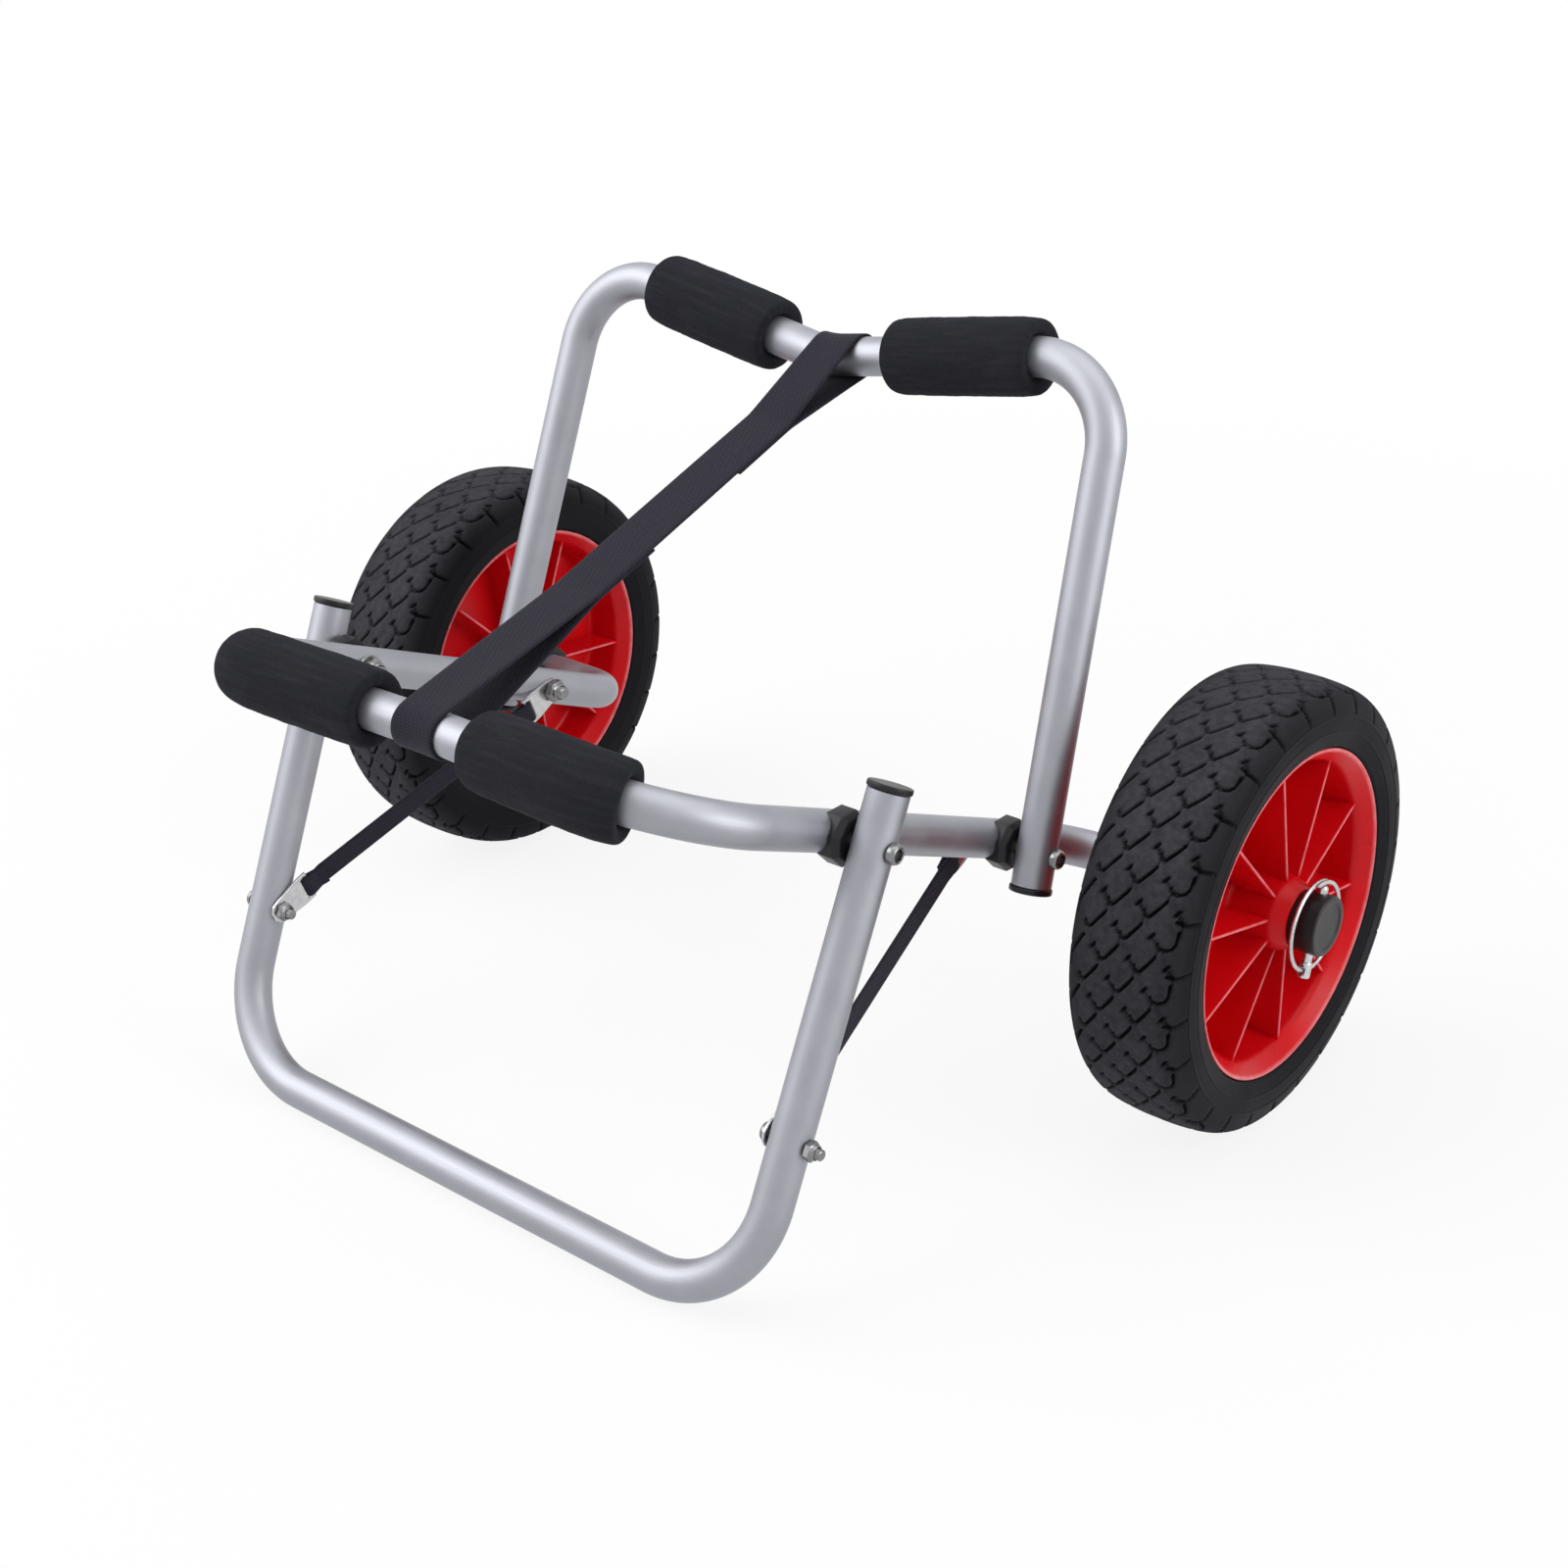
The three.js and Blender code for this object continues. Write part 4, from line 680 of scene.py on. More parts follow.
def woven_webbing(base):
    """Ribs across the webbing, broken by a slanted weave, under a little fuzz"""
    f = Finish("woven_webbing", base, 0.8, specular=0.1)
    f.set(f.shader, "Sheen Weight", 0.06)
    f.set(f.shader, "Sheen Roughness", 0.45)
    ribs = f.bands(f.surface_map((300.0, 210.0, 1.0)), "Y", 0.0)
    slant = f.bands(f.surface_map((220.0, 90.0, 1.0)), "DIAGONAL", 0.6)
    weave = f.math("MULTIPLY", ribs, f.remap(slant, 0.0, 1.0, 0.45, 1.0))
    fuzz = f.noise(f.surface_map((900.0, 900.0, 1.0)), 1.0)
    shade = f.remap(f.math("ADD", weave, fuzz), 0.5, 1.5, 0.0, 1.0)
    f.tint(shade, scaled(base, 0.75), scaled(base, 1.3))
    f.rough(f.spread(fuzz, 0.74, 0.88))
    f.bump(f.math("ADD", weave, f.math("MULTIPLY", fuzz, 0.4)), 0.0003)
    return f.material


def plated_steel(name, base):
    """Bright or dulled plating, a little uneven"""
    f = Finish(name, base, 0.28, metallic=1.0)
    cloud = f.noise(f.body_map(), 240.0)
    f.tint(f.spread(cloud, 0.0, 1.0), scaled(base, 0.86), scaled(base, 1.08))
    f.rough(f.spread(cloud, 0.22, 0.36))
    return f.material


# Each slot's material, once it is made
finishes = {}


def finish_for(context, slot):
    """The finish of a material slot, made once"""
    if slot not in finishes:
        scene, rims, fittings = context.scene, context.scene.cart_rims, context.scene.cart_fittings
        makers = {
            "aluminium_tube": lambda: anodised_aluminium(tuple(scene.cart_tubes.metal)),
            "black_foam": lambda: grip_foam(tuple(scene.cart_grips.foam)),
            "black_plastic": lambda: moulded_black(tuple(fittings.plastic)),
            "tyre_rubber": lambda: tyre_rubber(tuple(scene.cart_tyres.rubber)),
            "red_plastic": lambda: red_plastic(tuple(rims.plastic), rims, scene.cart_tyres.offset),
            "webbing": lambda: woven_webbing(tuple(scene.cart_straps.webbing)),
            "zinc_steel": lambda: plated_steel("zinc_steel", tuple(fittings.steel)),
            "dull_steel": lambda: plated_steel("dull_steel", tuple(fittings.dull_steel)),
        }
        finishes[slot] = makers[slot]()
    return finishes[slot]


# Tubes, caps and grips

class CART_OT_tubes(bpy.types.Operator):
    """Build the three bent tubes"""

    bl_idname = "cart.tubes"
    bl_label = "Bent tubes"

    def execute(self, context):
        layout = Layout(context.scene)
        metal = finish_for(context, "aluminium_tube")
        outer, inner = layout.radius, layout.radius - context.scene.cart_tubes.wall
        edge, deep, step, steps = 0.0003, 0.02, 0.012, 64
        end = [(deep, 0), (deep, inner), (edge, inner), (0, inner + edge), (0, outer - edge)]
        runs = {"cradle": layout.cradle(), "rear": layout.rear(), "stand": layout.stand()}
        for body, run in runs.items():
            body_rows = [(d, outer) for d in run.stations(edge, run.length - edge, step)]
            rows = end + body_rows + [(run.length - d, r) for d, r in reversed(end)]
            grid, places = run.sleeve(rows, steps)
            piece = Shape().grid(grid, close_columns=True, places=places).piece(f"{body}_tube", metal)
            dress(piece, body, f"{body}_frame")
        return {"FINISHED"}


class CART_OT_leg_caps(bpy.types.Operator):
    """Build the plugs in the hoops' open ends"""

    bl_idname = "cart.leg_caps"
    bl_label = "Leg caps"

    def execute(self, context):
        layout = Layout(context.scene)
        black = finish_for(context, "black_plastic")
        plug, lid, inner_end, seat, rim, dished = 0.0087, 0.012, -0.008, 0.0003, 0.0036, 0.0033
        outline = [(inner_end, 0), (inner_end, plug), (seat, plug), (seat, lid), (rim, lid), (dished, 0)]
        rows = rounded(outline, 0.0009)
        for body, run in (("rear", layout.rear()), ("stand", layout.stand())):
            for label, side in SIDES:
                point = Vector(run.points[0] if side > 0 else run.points[-1])
                way = Vector(-run.directions[0] if side > 0 else run.directions[-1])
                piece = turned_piece(f"{body}_leg_plug_{label}", rows, 64, facing(point, way), black)
                dress(piece, body, f"{body}_leg_cap_{label}")
        return {"FINISHED"}


def foam_relief(grid, centres, amount):
    """Moves the outer points of a sleeve in and out by a soft, fixed noise, coarse and fine"""
    coarse, fine, share, bore, bore_to_full = 95.0, 330.0, 0.65, 0.0135, 0.004
    flat = grid.reshape(-1, 3)
    away = flat - np.repeat(centres, grid.shape[1], axis=0)
    reach = np.linalg.norm(away, axis=1, keepdims=True)
    away = away / np.maximum(reach, 1e-9)
    lift = np.array([
        noise.noise(Vector(p) * coarse) * share + noise.noise(Vector(p) * fine) * (1 - share)
        for p in flat
    ])
    outer = np.clip((reach[:, 0] - bore) / bore_to_full, 0, 1)
    return (flat + away * (lift * amount * outer)[:, None]).reshape(grid.shape)


class CART_OT_grips(bpy.types.Operator):
    """Build the four foam sleeves"""

    bl_idname = "cart.grips"
    bl_label = "Foam grips"

    def execute(self, context):
        layout, g = Layout(context.scene), context.scene.cart_grips
        foam = finish_for(context, "black_foam")
        bars = (
            ("cradle", layout.cradle(), g.cradle_start, g.cradle_length, g.cradle_shift),
            ("rear", layout.rear(), g.rear_start, g.rear_length, g.rear_shift),
        )
        for body, run, start, long, shift in bars:
            for label, side in SIDES:
                middle = run.length / 2 - shift
                low = middle - start - long if side > 0 else middle + start
                shape = self.sleeve(run, low, low + long, layout.radius + 0.00015, g.diameter / 2)
                piece = shape.piece(f"{body}_foam_{label}", foam, crease=None)
                dress(piece, body, f"{body}_grip_{label}")
        return {"FINISHED"}

    def sleeve(self, run, low, high, bore, outer):
        """A foam tube round the run, a little fuller in its middle, with soft uneven skin"""
        end_long, step, steps, fuller, uneven = 0.0112, 0.0013, 112, 0.00035, 0.00042
        outline = [
            (0.0200, bore),
            (0.0042, bore, 0.0015),
            (0.0012, bore + 0.0022, 0.0012),
            (0.0000, outer - 0.0036, 0.0016),
            (0.0007, outer - 0.0009, 0.0022),
            (0.0060, outer - 0.0001, 0.004),
            (0.0100, outer),
        ]
        end = rounded(outline, 0.001, steps=5)
        first = [(low + d, r) for d, r in end]
        last = [(high - d, r) for d, r in reversed(end)]
        body = run.stations(low + end_long, high - end_long, step)
        bulge = np.sin((body - low) / (high - low) * math.pi) * fuller
        rows = np.array(first + list(zip(body, outer + bulge)) + last)
        grid, places = run.sleeve(rows, steps, close_rows=True)
        centres, _ = run.at(rows[:, 0])
        grid = foam_relief(grid, centres, uneven)
        return Shape().grid(grid, close_rows=True, close_columns=True, places=places)


# Straps

# The webbing's gap to what it is sewn round, and the eyes of the narrow straps: how far from a
# plate's bolt each lies, where it closes, and half of the plate's end strip along and through it
CLEARANCE = 0.0004
FRONT_LOOP_DRIFT = 0.001
EYE_TO_BOLT = 0.0229
EYE_CLOSES = 0.011
EYE_BAR_HALF_LONG = 0.0016
EYE_BAR_HALF_HIGH = 0.0008


def bar_rise(half_width, dip, bend, reach):
    """How far a dipped bar has moved away from its middle's line at this distance to the side"""
    slope = math.atan2(dip, half_width)
    round_part = min(reach, bend * math.sin(slope))
    turn = math.asin(round_part / bend)
    return bend * (1 - math.cos(turn)) + (reach - round_part) * math.tan(slope)


def ribbon_section(width, thickness, columns):
    """Places across and through a strip of webbing, all the way round"""
    half, deep, selvedge = width / 2, thickness / 2, 0.0006
    top = [(x, deep) for x in np.linspace(-half + selvedge, half - selvedge, columns)]
    edge = [(half, deep * 0.5), (half + 0.0001, 0.0), (half, -deep * 0.5)]
    return np.array(top + edge + [(-x, -o) for x, o in top] + [(-x, -o) for x, o in edge])


def resampled(path, step):
    """The path cut into even steps, and how far along it each place lies"""
    distances = distances_along(path)
    marks = np.linspace(0, distances[-1], math.ceil(distances[-1] / step) + 1)
    return read_off(marks, distances, path), marks


def eased(path, step, rounds):
    """A path in even steps, its inner places drawn towards their neighbours"""
    places, _ = resampled(np.array(path), step)
    for _ in range(rounds):
        places[1:-1] = places[1:-1] * 0.5 + (places[:-2] + places[2:]) * 0.25
    return places


def left_of(path):
    """The direction to the left of the path, at each of its places"""
    ways = np.gradient(path, axis=0)
    ways = ways / np.linalg.norm(ways, axis=1, keepdims=True)
    return np.stack([-ways[:, 1], ways[:, 0]], axis=1)


def webbing_piece(name, points, section, marks, finish):
    """A strip of webbing with closed ends, its map in metres round and along it"""
    around = distances_along(section)
    seam = 0.001
    places = np.meshgrid(np.append(around, around[-1] + seam), np.append(marks, marks[-1]))
    shape = Shape().grid(points, close_columns=True, places=np.stack(places, axis=-1))
    for row in (points[0], points[-1]):
        middle = np.repeat(row.mean(axis=0)[None], len(row), axis=0)
        shape.grid(np.stack([row, middle]), close_columns=True)
    return shape.piece(name, finish, crease=60)


def loop_round(centre, radius, toward, steps=28):
    """Places round a bar from one tangent to the other, for a loop that closes at the point toward"""
    away = toward - centre
    heading = math.atan2(away[1], away[0])
    half_open = math.acos(radius / np.linalg.norm(away))
    turns = heading - np.linspace(half_open, FULL_TURN - half_open, steps)
    return [centre + radius * np.array([math.cos(a), math.sin(a)]) for a in turns]


class CART_OT_hull_strap(bpy.types.Operator):
    """Build the long strap and its seams"""

    bl_idname = "cart.hull_strap"
    bl_label = "Hull strap"

    def execute(self, context):
        layout, t, s = Layout(context.scene), context.scene.cart_tubes, context.scene.cart_straps
        runs = (layout.cradle(), layout.rear())
        front_bar, rear_bar = (run.at([run.length / 2])[0][0][1:] for run in runs)
        reach = np.linalg.norm(rear_bar - front_bar)
        line = (rear_bar - front_bar) / reach
        over = np.array([-line[1], line[0]])
        deep = s.thickness / 2
        around = layout.radius + CLEARANCE + deep
        front_tip = front_bar + line * s.cradle_loop
        rear_tip = rear_bar - line * s.rear_loop
        front_tail = front_tip + line * s.hull_stitch
        rear_tail = rear_tip - line * s.hull_stitch
        front = loop_round(front_bar, around, front_tip)
        back = loop_round(rear_bar, around, rear_tip)
        path = [front_tail - over * deep, front_tip - over * deep, *front, front_tip + over * deep]
        path += [rear_tip + over * deep, *back, rear_tip - over * deep, rear_tail - over * deep]
        draft_step, easings, step = 0.0012, 6, 0.0022
        fine, marks = resampled(eased(path, draft_step, easings), step)
        out = left_of(fine)
        travel = (fine - front_bar) @ line
        leant = s.roll * np.sin(np.pi * np.clip(travel / reach, 0, 1))
        drifted = np.clip((travel - s.cradle_loop) / (reach - s.cradle_loop), 0, 1)
        section = ribbon_section(s.hull_width, s.thickness, 15)
        across, through = section[:, 0], section[:, 1]
        flat = fine[:, None, :] + out[:, None, :] * through[None, :, None]
        flat = flat + over * (across * np.sin(leant)[:, None])[:, :, None]
        front_way, rear_way = np.array(layout.arm)[1:], np.array(layout.rear_up)[1:]
        front_dip = (t.cradle_half_width, t.cradle_dip, t.cradle_dip_bend)
        rear_dip = (t.rear_corner, t.rear_dip, t.rear_dip_bend)
        bars = (
            (front_bar, front_way, front_dip, s.cradle_loop, 0.0),
            (rear_bar, rear_way, rear_dip, s.rear_loop, s.drift),
        )
        for middle, way, dip, loop, aside in bars:
            rise = np.array([bar_rise(*dip, abs(x + aside)) for x in across])
            away = np.linalg.norm(fine - middle, axis=1)
            near = 1 - np.clip((away - around) / (loop - around), 0, 1)
            flat = flat + near[:, None, None] * rise[None, :, None] * way[None, None, :]
        points = np.zeros((len(fine), len(section), 3))
        slid = FRONT_LOOP_DRIFT + (s.drift - FRONT_LOOP_DRIFT) * drifted
        points[:, :, 0] = across * np.cos(leant)[:, None] + slid[:, None]
        points[:, :, 1:] = flat
        webbing = finish_for(context, "webbing")
        strap = webbing_piece("hull_strap_webbing", points, section, marks, webbing)
        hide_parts("hull_strap")
        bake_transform(strap)
        return {"FINISHED"}


class CART_OT_stand_straps(bpy.types.Operator):
    """Build the two narrow straps of the stand"""

    bl_idname = "cart.stand_straps"
    bl_label = "Stand straps"

    def execute(self, context):
        layout, s = Layout(context.scene), context.scene.cart_straps
        webbing = finish_for(context, "webbing")
        top, low = layout.rear_pivot, layout.strap_bolt()
        reach = (low - top).length
        way = (low - top).normalized()
        wide = X_AXIS.cross(way).normalized()
        deep = s.thickness / 2
        long, high = EYE_BAR_HALF_LONG + CLEARANCE + deep, EYE_BAR_HALF_HIGH + CLEARANCE + deep
        section = ribbon_section(s.stand_width, s.thickness, 11)
        draft_step, easings, step = 0.0007, 3, 0.0013
        for label, side in SIDES:
            plates = [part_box(f"strap_{which}_bracket_{label}") for which in ("top", "low")]
            sheets = [(a.x + b.x) / 2 for a, b in plates]
            ends = [np.array([EYE_TO_BOLT, sheets[0]]), np.array([reach - EYE_TO_BOLT, sheets[1]])]
            line = (ends[1] - ends[0]) / np.linalg.norm(ends[1] - ends[0])
            over = np.array([-line[1], line[0]]) * side
            near = [ends[0] + line * d for d in (long + s.stand_stitch, EYE_CLOSES)]
            far = [ends[1] - line * d for d in (EYE_CLOSES, long + s.stand_stitch)]
            path = [place - over * deep for place in near]
            path += self.eye(ends[0], -line * long, over * high)
            path += [near[1] + over * deep, far[0] + over * deep]
            path += self.eye(ends[1], line * long, over * high)
            path += [place - over * deep for place in far]
            fine, marks = resampled(eased(path, draft_step, easings), step)
            plane = fine[:, None, :] + left_of(fine)[:, None, :] * section[None, :, 1, None]
            points = np.tile(np.array(top), (len(fine), len(section), 1))
            points[:, :, 0] = plane[:, :, 1]
            points += plane[:, :, 0, None] * np.array(way) + section[None, :, 0, None] * np.array(wide)
            strap = webbing_piece(f"stand_strap_webbing_{label}", points, section, marks, webbing)
            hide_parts(f"stand_strap_{label}")
            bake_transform(strap)
        return {"FINISHED"}

    def eye(self, middle, long, high):
        """Places round a plate's end strip: half an oval from one side of it to the other"""
        turns = np.linspace(-math.pi / 2, math.pi / 2, 13)
        return [middle + long * math.cos(a) + high * math.sin(a) for a in turns]


# Wheels

# Half of the tyre's section from the tread's middle to the bead, then the bed against the rim:
# places across the tyre and radii
TYRE_SECTION = (
    (0.0000, 0.13000), (0.0060, 0.12998), (0.0120, 0.12970), (0.0180, 0.12915), (0.0230, 0.12840),
    (0.0270, 0.12730), (0.0300, 0.12570), (0.0320, 0.12370), (0.0334, 0.12080), (0.0346, 0.11640),
    (0.0352, 0.11200), (0.0354, 0.10800), (0.0350, 0.10400), (0.0343, 0.10080), (0.0332, 0.09780),
)
SECTION_STEP = 0.0001
TYRE_BED = ((0.0330, 0.0959), (0.0306, 0.0954), (0.0240, 0.0904))
WALL_LINES = (0.1135, 0.1050)
WALL_LINE_HIGH = 0.15
WALL_LINE_WIDE = 0.0005

# The tread is drawn on a grid that slants with its cuts: rows round each repeat, columns across.
# Its scales stand a step apart across the tyre, counted from the first one's place.
TREAD_ROWS = 37
TREAD_COLUMNS = 81
TREAD_STEP = 0.0109
TREAD_EDGE = 0.043
TREAD_SLANT = 1.3
FIRST_SCALE = (-0.0221, 0.0160)

# A bowed cut runs through these places. Other cuts hold their two ends, and shares of the groove's
# width and depth.
BOWED_CUT = (
    (-0.0014, -0.0022), (-0.0002, 0.0002), (0.0026, 0.0004),
    (0.0050, -0.0028), (0.0084, -0.0075), (0.0098, -0.0098),
)
LAST_BOWED_CUT = (
    (-0.0014, -0.0022), (-0.0002, 0.0002), (0.0040, 0.0005),
    (0.0072, -0.0012), (0.0088, -0.0045), (0.0092, -0.0110),
)
SCALE_CUTS = (
    ((0.0048, 0.0112), (0.0068, 0.0086), 1.15, 0.8),
    ((0.0, 0.0), (0.0056, 0.0090), 0.6, 0.22),
)
FAR_EDGE_CUTS = (
    ((-0.0045, -0.0006), (0.0, 0.0004), 1.0, 1.0),
    ((0.0, 0.0004), (0.0070, -0.0008), 1.0, 1.0),
    ((0.0070, -0.0008), (0.0100, -0.0014), 0.8, 0.5),
)
NEAR_EDGE_CUTS = (
    ((0.0022, 0.0110), (0.0026, 0.0040), 1.0, 1.0),
    ((0.0026, 0.0040), (0.0098, -0.0090), 1.0, 1.0),
    ((-0.0090, 0.0012), (0.0, -0.0004), 1.0, 1.0),
)


def smooth_curve(points, step):
    """A smooth curve through the points, cut into even steps, and how far along it each lies"""
    p = np.array(points, float)
    p = np.vstack([2 * p[0] - p[1], p, 2 * p[-1] - p[-2]])
    made = []
    for k in range(1, len(p) - 2):
        a, b, c, d = p[k - 1:k + 3]
        for u in np.linspace(0, 1, 12, endpoint=False):
            square = (2 * a - 5 * b + 4 * c - d) * u * u
            cube = (3 * b - a - 3 * c + d) * u ** 3
            made.append(0.5 * (2 * b + (c - a) * u + square + cube))
    made.append(p[-2])
    return resampled(np.array(made), step)


def groove_depth(s, t, pitch, cuts):
    """Depth share from the nearest cut, for places across and round, repeated by the pitch"""
    wall_starts, wall_wide = 1.3, 0.6
    deepest = np.zeros(s.shape)
    for (s0, t0), (s1, t1), width, depth in cuts:
        ds, dt = s1 - s0, t1 - t0
        off = (t - t0 - dt / 2 + pitch / 2) % pitch - pitch / 2 + dt / 2
        along = np.clip(((s - s0) * ds + off * dt) / (ds * ds + dt * dt), 0, 1)
        gap = np.hypot(s - s0 - along * ds, off - along * dt) / (width / 2)
        wall = np.clip((wall_starts - gap) / wall_wide, 0, 1)
        deepest = np.maximum(deepest, depth * wall * wall * (3 - 2 * wall))
    return deepest


def tread_cuts(pitch, width):
    """Cuts of one repeat, on a lattice of scales: bowed cuts one way, short nicks the other way"""
    made = []
    for k in range(-1, 6):
        s, t = FIRST_SCALE[0] + k * TREAD_STEP, FIRST_SCALE[1] - (k % 2) * pitch / 2
        if 0 <= k <= 4:
            bowed, wide = (LAST_BOWED_CUT, 0.8) if k == 4 else (BOWED_CUT, 0.95)
            cuts = [(a, b, wide, 1.0) for a, b in zip(bowed, bowed[1:])]
            cuts.append((bowed[-1], (TREAD_STEP, -pitch / 2), 0.65, 0.4))
            cuts.append(((0.0062, 0.0102), (TREAD_STEP, pitch / 2), 0.95, 0.5))
            cuts.extend(SCALE_CUTS)
        else:
            cuts = FAR_EDGE_CUTS if k == 5 else NEAR_EDGE_CUTS
        made += [((s + a[0], t + a[1]), (s + b[0], t + b[1]), width * w, d) for a, b, w, d in cuts]
    return made


class CART_OT_tyres(bpy.types.Operator):
    """Build both tyres with their tread cut in"""

    bl_idname = "cart.tyres"
    bl_label = "Tyres"

    def execute(self, context):
        t = context.scene.cart_tyres
        rubber = finish_for(context, "tyre_rubber")
        size = t.diameter / 2 / TYRE_SECTION[0][1]
        half, arc = outline = smooth_curve(np.array(TYRE_SECTION) * (1, size), SECTION_STEP)
        crown = np.linspace(-TREAD_EDGE, TREAD_EDGE, TREAD_COLUMNS)
        rows = TREAD_ROWS * t.pitch_count
        pitch = math.pi * t.diameter / t.pitch_count
        grid_s, grid_t = np.meshgrid(crown, np.arange(TREAD_ROWS) * pitch / TREAD_ROWS)
        cuts = tread_cuts(pitch, t.groove_width)
        tread = groove_depth(grid_s, grid_t - TREAD_SLANT * grid_s, pitch, cuts)
        tread = np.tile(tread, (t.pitch_count, 1))
        lines = [np.interp(-r * size, -half[:, 1], arc) for r in WALL_LINES]
        beside = np.array([-0.0009, -0.0004, 0.0, 0.0004, 0.0009])
        wall = [np.linspace(TREAD_EDGE, arc[-1], 7), *(line + beside for line in lines)]
        wall = np.unique(np.concatenate(wall))
        raised = [np.exp(-(((wall - line) / WALL_LINE_WIDE) ** 2)) for line in lines]
        raised = -WALL_LINE_HIGH * sum(raised)[None]
        bed = np.array([half[-1], *np.array(TYRE_BED) * (1, size)])
        bed = np.concatenate([bed, bed[::-1] * np.array([-1, 1])])
        wall_rows = rows // 3
        bed_turn = np.repeat(np.arange(wall_rows)[:, None] * FULL_TURN / wall_rows, len(bed), axis=1)
        for label, side in SIDES:
            shape, middle = Shape(), side * t.offset
            self.ring(shape, middle, outline, crown, tread, t.groove_depth, rows, TREAD_SLANT)
            for part in (wall, -wall):
                self.ring(shape, middle, outline, part, raised, t.groove_depth, wall_rows, 0.0)
            self.wind(shape, middle, np.tile(bed, (wall_rows, 1, 1)), bed_turn, (0.06, 0.0))
            piece = shape.piece(f"treaded_tyre_{label}", rubber, crease=None)
            dress(piece, f"wheel_{label}", f"tyre_{label}")
        return {"FINISHED"}

    def ring(self, shape, middle, outline, places, depth, groove, rows, slant):
        """Part of the tyre's outside between two places across it, sunk by shares of a groove"""
        half, arc = outline
        reach = 0.0003
        across = np.abs(places)
        section = read_off(across, arc, half)
        ways = read_off(across + reach, arc, half) - read_off(across - reach, arc, half)
        ways[across < reach] = (1.0, 0.0)
        ways = ways / np.linalg.norm(ways, axis=1, keepdims=True)
        normal = np.stack([-ways[:, 1], ways[:, 0]], axis=1)
        depth = np.broadcast_to(depth, (rows, len(places)))
        section = section[None] - normal[None] * depth[:, :, None] * groove
        section[:, :, 0] = section[:, :, 0] * np.where(places < 0, -1, 1)
        turn = np.arange(rows)[:, None] * FULL_TURN / rows - slant * places[None] / half[0, 1]
        spots = np.stack([np.broadcast_to(places, depth.shape), depth], axis=-1)
        self.wind(shape, middle, section, turn, spots)

    def wind(self, shape, middle, section, turn, spots):
        """A closed band, its map holding the place across the tyre and the groove's share of depth"""
        points = np.zeros((*section.shape[:2], 3))
        points[:, :, 0] = section[:, :, 0] + middle
        points[:, :, 1] = AXLE.y - section[:, :, 1] * np.sin(turn)
        points[:, :, 2] = AXLE.z + section[:, :, 1] * np.cos(turn)
        spots = np.broadcast_to(spots, (*section.shape[:2], 2))
        spots = np.pad(spots, ((0, 1), (0, 1), (0, 0)), mode="wrap")
        shape.grid(points, close_rows=True, places=spots)


class CART_OT_rims(bpy.types.Operator):
    """Build both red rims with hub, web, barrel, lips and ribs"""

    bl_idname = "cart.rims"
    bl_label = "Rims"

    def execute(self, context):
        r, t = context.scene.cart_rims, context.scene.cart_tyres
        red = finish_for(context, "red_plastic")
        lip, seat, barrel, hub = r.diameter / 2, r.width / 2, r.barrel / 2, r.hub / 2
        hub_end, bore, barrel_end, web, wall = r.hub_length / 2, 0.01165, 0.0240, 0.0025, 0.004
        outline = [
            (0.0, bore),
            (hub_end, bore, 0.0006),
            (hub_end, 0.0170, 0.0012),
            (RIB_HIGH, hub, 0.002),
            (web, hub + 0.003, 0.004),
            (web, barrel - 0.003, 0.004),
            (barrel_end, barrel, 0.003),
            (seat - 0.0012, lip - 0.0024, 0.0022),
            (seat, lip - 0.0008, 0.0010),
            (seat - 0.0006, lip, 0.0008),
            (seat - 0.0024, lip, 0.0008),
            (barrel_end, barrel + wall, 0.003),
            (0.0, barrel + wall),
        ]
        right = rounded(outline, 0.001, steps=5)
        rows = [(-x, y) for x, y in reversed(right)] + right
        for label, side in SIDES:
            place = Matrix.Translation(AXLE + X_AXIS * (side * t.offset))
            shape = Shape().grid(turned(rows, 144, place), close_rows=True, close_columns=True)
            for k in range(r.rib_count):
                about = getattr(r, f"rib_turn_{label}") + k * FULL_TURN / r.rib_count
                spin = place @ Matrix.Rotation(about, 4, "X")
                for face in (-1, 1):
                    shape.grid(moved(self.rib(r, face), spin), close_columns=True)
            piece = shape.piece(f"ribbed_rim_{label}", red, crease=32)
            dress(piece, f"wheel_{label}", f"rim_{label}")
        return {"FINISHED"}

    def rib(self, r, face):
        """One rib standing on the web, its top edge rounded and falling a little towards the barrel"""
        foot, base, thick = 0.0015, r.rib_thickness / 2 * 1.25, r.rib_thickness / 2 * 0.72
        top = [(thick * math.cos(a), thick * math.sin(a)) for a in np.linspace(0, math.pi, 9)]
        low, high = r.hub / 2 - RIB_SUNK, r.barrel / 2 + RIB_PAST
        rows = []
        for d in np.linspace(low, high, 10):
            crown = RIB_HIGH - (d - low) / (high - low) * RIB_FALL
            ring = [(base, foot)] + [(x, crown - thick + z) for x, z in top] + [(-base, foot)]
            rows.append([(face * z, x, d) for x, z in ring])
        ends = [[tuple(np.mean(row, axis=0))] * len(row) for row in (rows[0], rows[-1])]
        return np.array([ends[0], *rows, ends[1]])


# Axle fittings

# Places along the pin are counted from the axle towards its tip. The ring's wire starts at so many
# degrees and goes round by more than a turn.
PIN_LEAN = math.radians(20)
PIN_HEAD_END = -0.0312
PIN_HEAD_FACE = -0.0222
PIN_TIP = 0.0216
PIN_EYE = 0.027
RING_TO_AXLE = 0.0017
RING_STARTS = 42
RING_SWEEP = 412
WIRE_STATIONS = 150
WIRE_SIDES = 16


